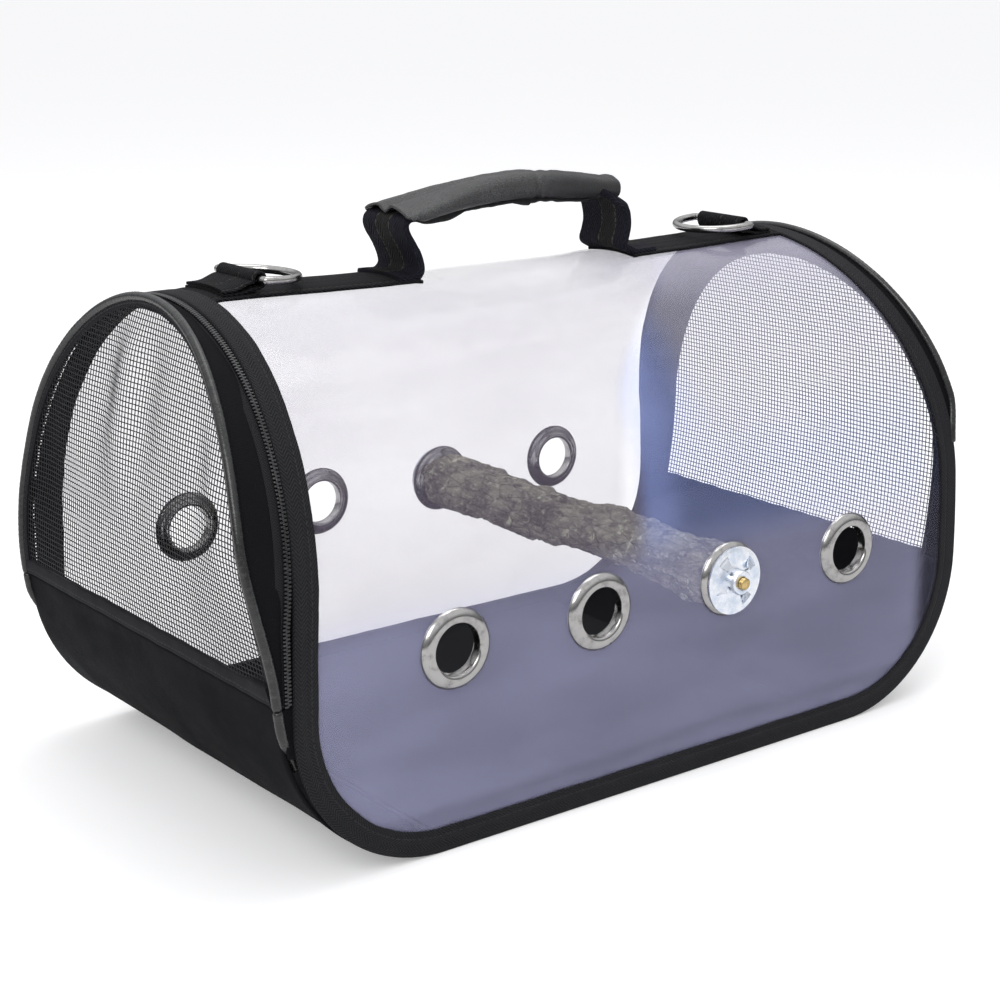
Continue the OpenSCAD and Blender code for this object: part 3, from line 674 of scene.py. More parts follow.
def on_end(side, y, z, d=0.0):
    """The point at y and z on an end's face, d outside it."""
    x, nx, nz = end_line(side, z)
    turn = door_turn(y, z) if side < 0 else 0.0
    return Vector((side * (x + d * nx) + turn, y, z + d * nz)) * mm


def strip_line(side, top, steps):
    """Heights from the top of an end panel down to the ground, close together in the corner."""
    low = [end_corner[side] * (1 - cos(pi / 2 * (1 - i / steps))) for i in range(steps + 1)]
    return [top + (joint_at[side] - top) * i / 8 for i in range(8)] + [z for z in low if z < joint_at[side]]


base_line = [(-1, z) for z in strip_line(-1, fold_z - 0.15, 30)] + [(1, z) for z in reversed(strip_line(1, sill_z, 30))]


def line_point(entry):
    side, z = entry
    x = end_line(side, z)[0]
    return Vector((side * x, z))


base_run = lengths([line_point(e) for e in base_line])


def base_point(u, v):
    i = round(u * (len(base_line) - 1))
    side, z = base_line[i]
    y = inner_r * (2 * v - 1)
    edge = ease(inner_r - abs(y), 0, 18)
    rise = ease(z, 2, 30)
    top = ease((fold_z if side < 0 else sill_z) - z, 0, 10)
    d = edge * rise * top * (0.9 * soft(y / 60, z / 40, side * 5) - 0.7)
    return on_end(side, y, z, d)


bm = blank(len(base_line) - 1, 72,
           lambda u, v: (base_run[round(u * (len(base_line) - 1))] * mm, v * 2 * inner_r * mm))
place(bm, base_point)

# plain weave: threads that pass over and under each other
plain_weave, g_in, g_out = shader_group(
    "Plain weave", [("Lay", "Vector", None), ("Thread pitch", "Float", 0.0007)],
    [("Height", "Float"), ("Thread", "Float")])
along, across, _ = parts(g_in["Lay"])
gu = calc("DIVIDE", along, g_in["Thread pitch"])
gv = calc("DIVIDE", across, g_in["Thread pitch"])
nu, nv = calc("ROUND", gu), calc("ROUND", gv)


def yarn_height(off_line, other, row, phase):
    """Height of one set of yarns: round across, rising and dipping along the other set."""
    across_yarn = calc("COSINE", mul(off_line, pi))
    swing = calc("COSINE", mul(add(add(other, row), phase), pi))
    return mul(across_yarn, add(0.6, mul(swing, 0.4)))


warp = yarn_height(sub(gu, nu), gv, nu, 0.0)
weft = yarn_height(sub(gv, nv), gu, nv, 1.0)
feed(g_out, "Height", calc("MAXIMUM", warp, weft))
feed(g_out, "Thread", ramp(sub(warp, weft), -0.3, 0.3))


def dark_cloth(name, colour, faded, pitch, amount=0.5, crease=0.25):
    """Black lined cloth of plain weave, a little dusty, with a soft crumple."""
    m, nt, shader = finish(name, colour, 0.78, Specular_IOR_Level=0.08)
    weave = use(nt, plain_weave, Lay=where(nt, "UV"), Thread_pitch=pitch)
    worn = use(nt, wear, At=where(nt), Colour=(*colour, 1), Faded=(*faded, 1), Amount=amount)
    # the yarns' crowns are painted lighter by their height: a painted highlight
    lit = mix(mul(weave["Height"], 0.5), worn["Colour"], tuple(1.7 * c for c in colour))
    feed(shader, "Base Color", lit)
    feed(shader, "Roughness", ramp(worn["Patch"], 0, 1, 0.70, 0.84))
    first = relief(None, clouds(where(nt), 55, 3, 0.55), crease, 0.002)
    relief(shader, weave["Height"], 0.6, 0.0003, first)
    return m


black_cloth = dark_cloth("black_cloth", (0.0045, 0.0045, 0.0058), (0.012, 0.012, 0.0145), 0.0007)
base_strip = piece("base_strip", outwards(bm), "carrier", black_cloth, "cloth",
                   "base_cloth", "left_end_panel", "right_end_panel")
thicken(base_strip, cloth_t)

# the lining, with the low ridge where it is turned up at the front wall
def lining_point(u, v):
    x = -corner_at[-1] + (corner_at[-1] + corner_at[1]) * u
    y = inner_r * (2 * v - 1)
    lift = 0.5 * ease(inner_r - abs(y), 0, 3) * (1 - ease(inner_r - abs(y), 5, 14)) + 0.35 * soft(x / 45, y / 45, 2)
    edge = ease(min(inner_r - abs(y), x + corner_at[-1], corner_at[1] - x), 0, 12)
    return Vector((x, y, 4.6 + 0.5 * edge + 0.9 * lift * edge)) * mm


bm = blank(120, 110, lambda u, v: (u * 0.251, v * 0.2374))
place(bm, lining_point)
lining_cloth = dark_cloth("lining_cloth", (0.011, 0.011, 0.013), (0.03, 0.03, 0.034), 0.0009, 0.7, 0.4)
lining = piece("floor_sheet", outwards(bm, (0, 0, -1)), "carrier", lining_cloth, "cloth", "floor_lining")
thicken(lining, 0.9)

# the board keeps its own solid, with a fine pressed-fibre finish
pressed_board, _, _ = grained("pressed_board", (0.05, 0.045, 0.04), 0.8, (260, 4, 0.7, (1, 4, 1)),
                              (0.035, 0.031, 0.027), (0.075, 0.068, 0.06), bump=(0.4, 0.0005))
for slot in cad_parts["base_board"].material_slots:
    slot.material = pressed_board

# ---- Side gussets ----
# Narrow strips of the same cloth that fill the gap between each end's seam and the edge binding,
# on both long walls and, at the right end, over the crown.
left_foot_z = 64.6
right_foot_z = bulge_z + 4


def from_foot(z):
    """0 below the right end's seam foot, 1 well above it, where the seam leaves the binding."""
    return ease(z, right_foot_z - 2, right_foot_z + 26)


def gusset_point(side, s, t, d=0.0):
    """t runs from the end's seam (0) to the edge binding (1) across the gap."""
    z = height_at(s)
    x0 = end_line(side, z)[0]
    out = side * (x0 - 1.6)
    if side > 0:
        rim = opening_x(side, z)
        out = rim + 0.5 + (x0 - 2.1 - rim) * from_foot(z)
    inner = side * (opening_x(side, z) - 3.0)
    return on_vault(out + (inner - out) * t, s, d)


def gusset(name, side, s0, s1, cells, *nodes):
    """A strip of cloth along the gap from s0 to s1."""
    bm = blank(cells, 6, lambda u, v: ((s0 + (s1 - s0) * u) * mm, v * 0.012))
    place(bm, lambda u, v: gusset_point(side, s0 + (s1 - s0) * u, v, -0.1 - 0.5 * sin(pi * v)))
    return thicken(piece(name, outwards(bm), "carrier", black_cloth, "cloth", *nodes), cloth_t - 0.2)


gusset("left_gusset_front", -1, left_foot_z, fold_z - 0.2, 20, "left_gusset")
gusset("left_gusset_back", -1, wall_len - fold_z + 0.2, wall_len - left_foot_z, 20, "left_gusset")
gusset("right_gusset_arch", 1, right_foot_z, wall_len - right_foot_z, 160, "right_gusset")

# ---- Piping ----
# Glossy black bead, a vinyl strip folded round a cord and sewn into each end's seam with its
# raw edges inside as a flat lip.
def seam_point(side, s, out=0.0, proud=0.0):
    """On an end's seam at s along the vault; out is away from the arch's axis, proud out of the face."""
    z = height_at(s)
    a = min(max((s - spring_z) / arch_r, 0), pi)
    y = -(arch_r + out) * cos(a) if spring_z < s < wall_len - spring_z else (-1 if s < spring_z else 1) * (arch_r + out)
    x, nx, nz = end_line(side, z)
    turn = door_turn(y, z) if side < 0 else 0.0
    if side > 0:
        rim = opening_x(side, z)
        x = rim - 1.0 + (x - rim + 1.0) * from_foot(z)
    up = out * sin(a) if spring_z < s < wall_len - spring_z else 0.0
    return Vector((side * (x + proud * nx) + turn, y, z + up + proud * nz)) * mm


def bead_point(side, s, a, r):
    c = seam_point(side, s)
    t = (seam_point(side, s + 0.5) - seam_point(side, s - 0.5)).normalized()
    out = Vector((0, c.y, max(c.z - spring_z * mm, 0))).normalized()
    u = (out - out.dot(t) * t).normalized()
    return c + r * mm * (cos(a) * u + sin(a) * t.cross(u))


def piping(name, side, s0, s1, body, *nodes, tuck=(0, 0)):
    """A run of bead; tuck is the length over which its start or its end dives into the cloth."""
    cells = round((s1 - s0) / 1.1)

    def at(u, v):
        i = round(u * cells)
        s = s0 + (s1 - s0) * min(max(i - 1, 0) / (cells - 2), 1.0)
        tip = min(s - s0, s1 - s)
        r = 0.0 if i in (0, cells) else bead_r - 0.25 * (1 - ease(tip, 0, 1.5))
        r += (0.07 * soft(s / 9, 2 * v, 3) + 0.05 * sin(s * 2.1)) * ease(tip, 2, 6)
        p = bead_point(side, s, 2 * pi * v, max(r, 0.0))
        dive = 1 - ease(s - s0, 0, tuck[0]) if tuck[0] else (1 - ease(s1 - s, 0, tuck[1]) if tuck[1] else 0.0)
        p.x -= side * 5.5 * dive * mm
        p.y *= 1 - 0.05 * dive
        return p

    bm = blank(cells, 16, lambda u, v: ((s0 + (s1 - s0) * u) * mm, v * 0.0138))
    place(bm, at, joined=True)
    return piece(name, bm, body, gloss_vinyl, "piping", *nodes)


gloss_vinyl, nt, shader = finish("gloss_vinyl", (0.012, 0.012, 0.013), 0.28, Coat_Weight=0.25, Coat_Roughness=0.15,
                                 Specular_IOR_Level=0.45)
lay = where(nt, "UV")
puckers_and_sheen = clouds(lay, 420, 3, 0.6, (1.0, 0.25, 1.0))
grain = clouds(where(nt), 1800, 2, 0.5)
# the pucker ridges are painted lighter, a painted highlight; the same noise gives their relief
feed(shader, "Base Color", mix(ramp(puckers_and_sheen, 0.45, 0.8), (0.010, 0.010, 0.011), (0.035, 0.035, 0.034)))
feed(shader, "Roughness", ramp(grain, 0.3, 0.7, 0.22, 0.40))
relief(shader, grain, 0.25, 0.0002, relief(None, puckers_and_sheen, 0.4, 0.0006))

piping("door_bead", -1, fold_z + 0.3, wall_len - fold_z - 0.3, "door", "door_piping")
piping("left_bead_front", -1, left_foot_z - 8, fold_z - 0.3, "carrier", "base_piping", tuck=(24, 0))
piping("left_bead_back", -1, wall_len - fold_z + 0.3, wall_len - left_foot_z + 8, "carrier", "base_piping",
       tuck=(0, 24))
piping("right_bead", 1, right_foot_z + 1, wall_len - right_foot_z - 1, "carrier", "right_piping")


def swept(cells, section, along, at):
    """A closed section of points swept along u, its ends closed: at(u, one of its points) is the
    place of a vertex, and along(u) the length there in millimetres."""
    count = len(section)
    around = lengths(section, True)
    bm = blank(cells, count, lambda u, v: (along(u) * mm, around[round(v * count)] * mm))
    place(bm, lambda u, v: at(u, section[round(v * count) % count]), joined=True)
    bmesh.ops.holes_fill(bm, edges=[e for e in bm.edges if e.is_boundary])
    bmesh.ops.recalc_face_normals(bm, faces=bm.faces)
    return bm


def seam_lip(name, side, s0, s1, body, width, proud=0.5):
    """The piping's flat lip sewn over the edge of an end's face."""
    section = [(0.9, 0.9), (3, proud + 0.3), (width - 0.4, proud + 0.25), (width, proud), (width, -0.9), (0.9, -0.9)]

    def along(u):
        return s0 + (s1 - s0) * u

    def at(u, point):
        s, (step, d) = along(u), point
        return seam_point(side, s, -step - (0.25 * soft(s / 14, 3) if step > 3 else 0), d)

    bm = swept(round((s1 - s0) / 3), section, along, at)
    return piece(name, bm, body, lip_cloth, "cloth", sharp=50)


lip_cloth, nt, shader = finish("lip_cloth", (0.011, 0.011, 0.013), 0.7, Specular_IOR_Level=0.2)
lay = where(nt, "UV")
ribs = use(nt, plain_weave, Lay=lay, Thread_pitch=0.0008)
seam = use(nt, stitch_row, Lay=lay, Row=0.0021, Pitch=0.0030, Width=0.00035)
feed(shader, "Base Color", mix(seam["Mask"], (0.009, 0.009, 0.011), (0.035, 0.035, 0.038)))
relief(shader, seam["Height"], 0.8, 0.0005, relief(None, ribs["Height"], 0.5, 0.0003))
seam_lip("door_lip", -1, fold_z + 0.3, wall_len - fold_z - 0.3, "door", 5.5, 0.3)

# ---- Door zip ----
# A plastic coil zip: two rows of small teeth between the edge binding and the door's strip, each
# row on its own woven tape.
zip_tilt = radians(6.555981)
zip_x0 = -212.72375


def zip_point(s, off, d):
    """Along the zip's middle line; off is along X, d outside the vault."""
    z = height_at(s)
    return on_vault(zip_x0 + max(z - spring_z, 0) * tan(zip_tilt) + off, s, d)


def teeth(name, side, body, *nodes):
    """One row of teeth: small rounded blocks that reach just past the middle line in turn."""
    bm = bmesh.new()
    pitch = 1.7
    s0, s1 = fold_z + 1.0, wall_len - fold_z - 1.0
    count = int((s1 - s0) / pitch)
    for i in range(count):
        s = s0 + (i + (0.5 if side > 0 else 0.0)) * pitch
        c = zip_point(s, side * 0.62, 0.75)
        along_s = (zip_point(s + 0.5, side * 0.62, 0.75) - zip_point(s - 0.5, side * 0.62, 0.75)).normalized()
        out = (zip_point(s, side * 0.62, 1.75) - c).normalized()
        wide = along_s.cross(out)
        frame_3 = Matrix((wide, along_s, out)).transposed().to_4x4()
        size = Matrix.Diagonal((2.1 * mm, 1.0 * mm, 1.3 * mm, 1))
        bmesh.ops.create_cube(bm, size=1, matrix=Matrix.Translation(c) @ frame_3 @ size)
    bmesh.ops.bevel(bm, geom=bm.edges[:], offset=0.25 * mm, segments=1, profile=0.5, affect="EDGES", material=-1)
    bmesh.ops.recalc_face_normals(bm, faces=bm.faces)
    return piece(name, bm, body, coil_plastic, "zip_teeth", *nodes)


coil_plastic, _, _ = grained("coil_plastic", (0.014, 0.014, 0.016), 0.34, (300, 3, 0.6), (0.012, 0.012, 0.014),
                             (0.04, 0.04, 0.043), gloss=(0.3, 0.8, 0.28, 0.48), span=(0.5, 0.8),
                             Coat_Weight=0.2, Coat_Roughness=0.3)
teeth("zip_teeth_body", 1, "carrier", "zip_body_half")
teeth("zip_teeth_door", -1, "door", "zip_door_half")

zip_cloth, nt, shader = finish("zip_cloth", (0.010, 0.010, 0.012), 0.75, Specular_IOR_Level=0.2)
ribs = use(nt, chevron_weave, Lay=where(nt, "UV"), Rib_pitch=0.0012, Column=0.0028, Slope=0.9)
# the rib crests are painted lighter, a painted highlight on the weave
feed(shader, "Base Color", mix(ribs["Thread"], (0.008, 0.008, 0.010), (0.019, 0.019, 0.022)))
relief(shader, ribs["Height"], 0.7, 0.0003)


def zip_strip(name, off0, off1, d, wall, body, s0, *nodes):
    """One half's woven tape, between two distances from the zip's middle line."""
    bm = blank(190, 4, lambda u, v: ((s0 + (wall_len - 2 * s0) * u) * mm, abs(off1 - off0) * v * mm))
    place(bm, lambda u, v: zip_point(s0 + (wall_len - 2 * s0) * u, off0 + (off1 - off0) * v, d))
    return thicken(piece(name, outwards(bm), body, zip_cloth, "cloth", *nodes), wall)


zip_strip("zip_tape_body", -0.1, 8.0, -2.15, 0.7, "carrier", fold_z, "zip_tape")
zip_strip("zip_tape_door", -5.5, -0.3, -0.05, 0.6, "door", fold_z + 0.5)

# ---- Door strip ----
# The door's own gusset: a strip of black cloth on the arch between the zip and the piping.
def door_strip_point(u, v):
    s = fold_z + 0.3 + (wall_len - 2 * fold_z - 0.6) * u
    z = height_at(s)
    y = on_vault(0, s).y / mm
    outer = -(end_line(-1, z)[0] - 1.5) + door_turn(y, z)
    inner = zip_x0 + max(z - spring_z, 0) * tan(zip_tilt) - 1.9
    wide = abs(inner - outer) / 10
    d = (0.35 * (1 + soft(s / 25, 2 * v, 5)) - 0.9 * max(wide - 1, 0)) * sin(pi * v) - 0.1
    return on_vault(outer + (inner - outer) * v, s, d)


bm = blank(200, 8, lambda u, v: ((fold_z + (wall_len - 2 * fold_z) * u) * mm, v * 0.010))
place(bm, door_strip_point)
door_gusset = piece("door_gusset", outwards(bm), "door", black_cloth, "cloth", "door_strip")
thicken(door_gusset, 1.3)

# ---- Nets ----
# Black knitted mesh with square holes of about 1.7 mm, one panel in the door and one in the
# fixed end, each sewn in under its seam; a little slack leaves soft folds below the crown.
yarn_w = 0.46
yarn_t = 0.26
net_cell = 2.4
end_net_r = 107.0
end_open_r = 105.0


def arc_heights(side, z0, z1, step):
    """Heights on an end's face at equal steps along its curve."""
    zs, z = [z0], z0
    while z < z1:
        z += step * max(end_line(side, z)[1], 0.6)
        zs.append(z)
    return zs


def from_axis(y, z):
    """Distance to the arch's axis, or below it to the middle plane."""
    return hypot(y, z - spring_z) if z > spring_z else abs(y)


def net_panel(name, side, body, edge_r, z0, fold, node):
    rows = arc_heights(side, z0, spring_z + edge_r + net_cell, net_cell)
    cols = 2 * int(edge_r / net_cell) + 4
    last = len(rows) - 1
    bm = blank(cols, last, lambda u, v: (u * cols * net_cell * mm, v * last * net_cell * mm))
    beyond = []
    for face in bm.faces:
        c = face.calc_center_median()
        low = min(int(c.y * last), last - 1)
        if from_axis((c.x - 0.5) * cols * net_cell, (rows[low] + rows[low + 1]) / 2) > edge_r - 0.3:
            beyond.append(face)
    bmesh.ops.delete(bm, geom=beyond, context="FACES")

    def at(u, v):
        y, z = (u - 0.5) * cols * net_cell, rows[min(round(v * last), last)]
        return on_end(side, y + 0.25 * soft(z / 30, y / 30, 3), z, fold(y, z))

    outwards(place(bm, at))
    # each cell keeps a rim of yarn and loses its middle
    rims = bmesh.ops.inset_individual(bm, faces=bm.faces[:], thickness=0.5 * yarn_w * mm, use_even_offset=True)
    rims = set(rims["faces"])
    bmesh.ops.delete(bm, geom=[f for f in bm.faces if f not in rims], context="FACES")
    return thicken(piece(name, bm, body, net_yarn, "net", node), yarn_t)


net_yarn, _, _ = grained("net_yarn", (0.012, 0.012, 0.014), 0.62, (1500, 2, 0.6), (0.007, 0.007, 0.009),
                         (0.024, 0.024, 0.028), bump=(0.5, 0.0002), Specular_IOR_Level=0.25)


def door_fold(y, z):
    """Slack folds that hang from the crown and fade towards the middle of the door."""
    near_top = ease(z, 125, 205)
    edge = ease(inner_r - from_axis(y, z), 2, 26)
    folds = 2.5 * sin((y + 0.10 * (z - 200)) / 8.5) * (0.6 + 0.4 * sin(y / 17 + 1)) * near_top
    return -0.5 + edge * (folds + 1.4 * soft(y / 70, z / 60, 1))


def right_fold(y, z):
    edge = ease(end_open_r - from_axis(y, z), 2, 26)
    folds = 1.3 * sin((y + 0.25 * z) / 9) * ease(z, 150, 210) * ease(-y, -20, 60)
    return -0.6 + edge * (folds + 1.5 * soft(y / 60, z / 60, 8))


door_mesh = net_panel("door_mesh", -1, "door", inner_r - 0.4, fold_z + 6.0, door_fold, "door_net")
end_mesh = net_panel("end_mesh", 1, "carrier", end_net_r, sill_z - 3.0, right_fold, "right_net")

# ---- Door hem ----
# The net's lower edge, caught in a folded strip of cloth with one row of stitches; the strip's
# front end is left long and stands off as a small loose tab.
hem_top = fold_z + 8.4


def hem_strip(name, side, z_low, z_high, half_width, body, loose, *nodes):
    section = [(z_low, 0.15), (z_low + 0.5, 0.75), ((z_low + z_high) / 2, 1.0), (z_high - 0.5, 0.8),
               (z_high, 0.2), (z_high, -1.2), (z_low, -1.5)]

    def at(u, point):
        y, (z, d) = half_width * (2 * u - 1), point
        lift = 2.2 * loose * ease(-y, half_width - 22, half_width - 6) * (z - z_low) / (z_high - z_low)
        wave = 0.5 * soft(y / 22, 2.0) + 0.15 * sin(y / 2.4)
        return on_end(side, y, z + wave * (1 if z > z_low + 1 else 0.2) + lift, d + 0.3 * soft(y / 14, 5) + lift)

    bm = swept(110, section, lambda u: u * 2 * half_width, at)
    return piece(name, bm, body, hem_cloth, "cloth", *nodes, sharp=50)


hem_cloth, nt, shader = finish("hem_cloth", (0.010, 0.010, 0.012), 0.75, Specular_IOR_Level=0.18)
lay = where(nt, "UV")
weave = use(nt, plain_weave, Lay=lay, Thread_pitch=0.0007)
seam = use(nt, stitch_row, Lay=lay, Row=0.0030, Pitch=0.0032, Width=0.00035)
worn = use(nt, wear, At=where(nt), Colour=(0.0085, 0.0085, 0.0105, 1), Faded=(0.022, 0.022, 0.026, 1), Amount=0.5)
feed(shader, "Base Color", mix(seam["Mask"], worn["Colour"], (0.035, 0.035, 0.038)))
relief(shader, seam["Height"], 0.8, 0.0005, relief(None, weave["Height"], 0.6, 0.0003))
hem_strip("door_edge", -1, fold_z + 0.35, hem_top, inner_r - 0.5, "door", 1.0, "door_hem")

# ---- Fixed end: cloth border ----
# Black cloth round the net, cut in one piece and sewn to the end panel below, with a folded
# inner edge over the net.
border_in = 104.6
border_mid = 110.0
border_arch = pi * border_mid


def border_ring(s, r):
    """The point (y, z) r from the arch's axis, at s along the border's middle line."""
    if s < spring_z:
        return -r, s
    if s > spring_z + border_arch:
        return r, 2 * spring_z + border_arch - s
    a = (s - spring_z) / border_mid
    return -r * cos(a), spring_z + r * sin(a)


def border_point(u, v):
    start = sill_z - 2
    s = start + (2 * spring_z + border_arch - 2 * start) * u
    y, z = border_ring(s, border_in + (inner_r - border_in) * v)
    folded = 0.5 * (1 - ease(v, 0.1, 0.28))
    p = on_end(1, y, z, -0.15 + folded + 0.5 * sin(pi * v) * soft(s / 30, 2 * v, 4))
    # low down its outer edge turns in under the binding, as the seam does
    rim = (opening_x(1, z) - 1.5) * mm
    p.x += min(rim - p.x, 0.0) * ease(v, 0.35, 1.0) * (1 - from_foot(z))
    return p


bm = blank(180, 12, lambda u, v: (u * 0.44, v * 0.0141))
place(bm, border_point)
end_border = piece("end_border", outwards(bm), "carrier", hem_cloth, "cloth", "right_border")
thicken(end_border, 1.7)
hem_strip("end_edge", 1, sill_z - 4.0, sill_z + 0.6, end_open_r + 0.2, "carrier", 0.0)

# ---- Eyelets ----
# Nickel-plated steel, in two halves: a domed rim outside with a barrel through the sheet, rolled
# over a flat washer inside. Four in each long wall.
nickel, nt, shader = grained("nickel", (0.42, 0.41, 0.40), 0.09, (240, 4, 0.65), (0.44, 0.43, 0.42),
                             (0.24, 0.232, 0.228), gloss=(0.35, 0.8, 0.13, 0.32), span=(0.45, 0.8), Metallic=1.0)
relief(shader, clouds(where(nt), 2600, 2, 0.5), 0.12, 0.0001)

eyelet_line = [(12.0, -2.6), (12.0, 1.6), (12.3, 2.35), (13.0, 2.85), (14.2, 3.0), (15.6, 2.95), (17.0, 2.4),
               (18.2, 1.4), (18.9, 0.45), (19.0, 0.05), (18.6, 0.0), (12.8, 0.0), (12.8, -0.82), (18.2, -0.82),
               (18.4, -1.2), (17.6, -1.9), (16.4, -2.35), (14.9, -2.5), (14.6, -2.9), (13.8, -3.2), (12.8, -3.2),
               (12.2, -3.0)]
walls = ((-1, "front"), (1, "back"))


def stand(bm, x, wall, foot, verts=None):
    """Turned work in millimetres round Z, stood on the front or back wall at the eyelets' height."""
    turn = Matrix.Rotation(radians(90 if wall < 0 else -90), 4, "X")
    move = Matrix.Translation(Vector((x, wall * foot, eyelet_z)) * mm)
    bmesh.ops.transform(bm, matrix=move @ turn @ Matrix.Scale(mm, 4), verts=verts or bm.verts)


def take(bm, other):
    """Another mesh's contents moved in; returns the new vertices."""
    store = bpy.data.meshes.new("store")
    other.to_mesh(store)
    other.free()
    start = len(bm.verts)
    bm.from_mesh(store)
    bpy.data.meshes.remove(store)
    bm.verts.ensure_lookup_table()
    return bm.verts[start:]


def turned(bm, line, segments):
    """A closed ring profile of points (radius, height) spun once round Z."""
    verts = [bm.verts.new((r, 0, h)) for r, h in line]
    edges = [bm.edges.new((a, b)) for a, b in zip(verts, verts[1:] + verts[:1])]
    bmesh.ops.spin(bm, geom=verts + edges, cent=(0, 0, 0), axis=(0, 0, 1), angle=2 * pi, steps=segments,
                   use_merge=True)


for wall, word in walls:
    bm = bmesh.new()
    for x in eyelet_x:
        one = bmesh.new()
        turned(one, eyelet_line, 72)
        bmesh.ops.remove_doubles(one, verts=one.verts, dist=1e-4)
        even(one)
        stand(bm, x, wall, arch_r, take(bm, one))
    piece(word + "_wall_eyelets", bm, "carrier", nickel, "nickel", word + "_eyelets", word + "_eyelet_washers",
          sharp=50)

# ---- Perch ----
# A length of natural branch with its bark on, cut square at both ends, with a brass threaded
# stud let into each end; it crosses the cabin between the third pair of eyelets.
perch_x = 41.75
perch_half = 117.5
perch_r = 15.0


def branch_point(u, v):
    cap = 0.02
    t = min(max((u - cap) / (1 - 2 * cap), 0), 1)
    shrink = min(u / cap, (1 - u) / cap, 1.0)
    a = 2 * pi * v
    knots = (0.05 * sin(3 * a + radians(700 * t)) + 0.035 * sin(2 * a - radians(1150 * t))
             + 0.03 * sin(5 * a + radians(1900 * t)))
    swell = 0.05 * cos(radians(400 * t)) + 0.02 * sin(radians(1300 * t))
    r = perch_r * (1 + knots + swell - 0.04 * sin(radians(180 * t)))
    ca, sa = cos(a), sin(a)
    length = 2 * perch_half * t
    ridge = noise.ridged_multi_fractal((ca * 1.6, sa * 1.6, length / 30), 0.9, 2.1, 4, 1.0, 2.0)
    lumps = noise.fractal((ca * 1.1, sa * 1.1, length / 16 + 5), 1.0, 2.0, 3)
    flakes = noise.fractal((ca * 5, sa * 5, length / 7), 0.8, 2.2, 3)
    r += (1.0 * (ridge - 1.0) + 1.5 * lumps + 1.0 * flakes) - 0.6
    r *= shrink
    return Vector((perch_x + 2 * sin(pi * t) + r * ca, -perch_half + length,
                   eyelet_z + 1.5 * sin(2 * pi * t) * sin(pi * t) + r * sa)) * mm


bm = blank(260, 112, lambda u, v: (u * 0.245, v * 0.094))
place(bm, branch_point, joined=True)
bark, nt, shader = finish("bark", (0.16, 0.13, 0.10), 0.9, Specular_IOR_Level=0.2)
at = where(nt)
coarse = clouds(at, 60, 6, 0.65, (1.0, 0.55, 1.0))
grain = clouds(at, 420, 5, 0.7, (1.0, 0.5, 1.0))
# the cracks are darkened, partly the bark's own colour and partly painted shade in them
gap_line = ramp(voronoi(at, 170, "DISTANCE_TO_EDGE", (1.0, 0.45, 1.0)), 0.0, 0.10, 0.62, 1.0)
tone = mix(ramp(coarse, 0.36, 0.62), (0.13, 0.122, 0.092), (0.29, 0.28, 0.215))
tone = mix(ramp(grain, 0.48, 0.70), tone, (0.46, 0.445, 0.36))
dark = ramp(clouds(at, 150, 5, 0.7, (1.0, 0.4, 1.0)), 0.50, 0.36)
tone = mix(mul(dark, 0.8), tone, (0.055, 0.047, 0.040))
lichen = mul(ramp(clouds(at, 110, 4, 0.6), 0.60, 0.68), 0.8)
tone = mix(lichen, tone, (0.64, 0.66, 0.50))
feed(shader, "Base Color", mix(gap_line, (0.04, 0.033, 0.027), tone))
rough_bark = add(mul(grain, 0.9), mul(gap_line, 0.7))
relief(shader, rough_bark, 1.0, 0.0018)
piece("perch", bm, "carrier", bark, "bark", "perch_branch")

brass, _, _ = grained("brass", (0.62, 0.46, 0.20), 0.24, (400, 4, 0.6), (0.66, 0.49, 0.21), (0.38, 0.26, 0.11),
                      gloss=(0.3, 0.8, 0.2, 0.42), span=(0.4, 0.8), Metallic=1.0)


stud_r = 3.0
stud_len = 38.0
stud_foot = 95.4


def stud_point(u, v):
    """A threaded rod of 1 mm pitch: one helical ridge, with a chamfered tip."""
    h = u * stud_len
    groove = 0.32 * (0.5 - 0.5 * cos(2 * pi * (h + v)))
    tip = min(1.0, (stud_len - h) / 0.9 + 0.55) if h > stud_len - 1 else 1.0
    r = (stud_r - groove) * tip * (0.0 if u in (0.0, 1.0) else 1.0)
    return Vector((r * cos(2 * pi * v), r * sin(2 * pi * v), h))


for wall, word in walls:
    bm = blank(190, 24, lambda u, v: (u * 0.038, v * 0.0188))
    place(bm, stud_point, joined=True)
    stand(bm, perch_x, wall, stud_foot)
    piece(word + "_stud", bm, "carrier", brass, "brass", "perch_studs")

# ---- Perch nuts ----
# Pressed and zinc-plated steel: a thin round flange with four windows whose metal is folded
# out as wings to turn it by, and a round hub threaded on the stud.
zinc, nt, shader = finish("zinc", (0.84, 0.87, 0.93), 0.34, Metallic=1.0)
at = where(nt)
stain = clouds(at, 160, 4, 0.6)
cold = mix(ramp(stain, 0.35, 0.7), (0.90, 0.92, 0.96), (0.66, 0.73, 0.84))
feed(shader, "Base Color", cold)
feed(shader, "Roughness", ramp(voronoi(at, 420), 0.0, 0.9, 0.22, 0.38))
relief(shader, clouds(at, 1500, 3, 0.6), 0.15, 0.00012)


nut_foot = 124.3
nut_bore = 3.1
flange_w = 14.1
wing_turns = [37, 127, 217, 307]
window_in, window_len = 7.4, 6.8


def window_of(r, a):
    """True inside one of the four windows of the flange."""
    for turn in wing_turns:
        a_in = (a - radians(turn) + pi) % (2 * pi) - pi
        deep = r * cos(a_in) - window_in
        if abs(a_in) < pi / 2 and 0 < deep < window_len and abs(r * sin(a_in)) < 1.2 + 2.4 * deep / window_len:
            return True
    return False


def flange_point(u, v):
    r = nut_bore + flange_w * v
    return Vector((r * cos(2 * pi * u), r * sin(2 * pi * u), 1.2 - 0.25 * ease(r, 14.5, 17.2)))


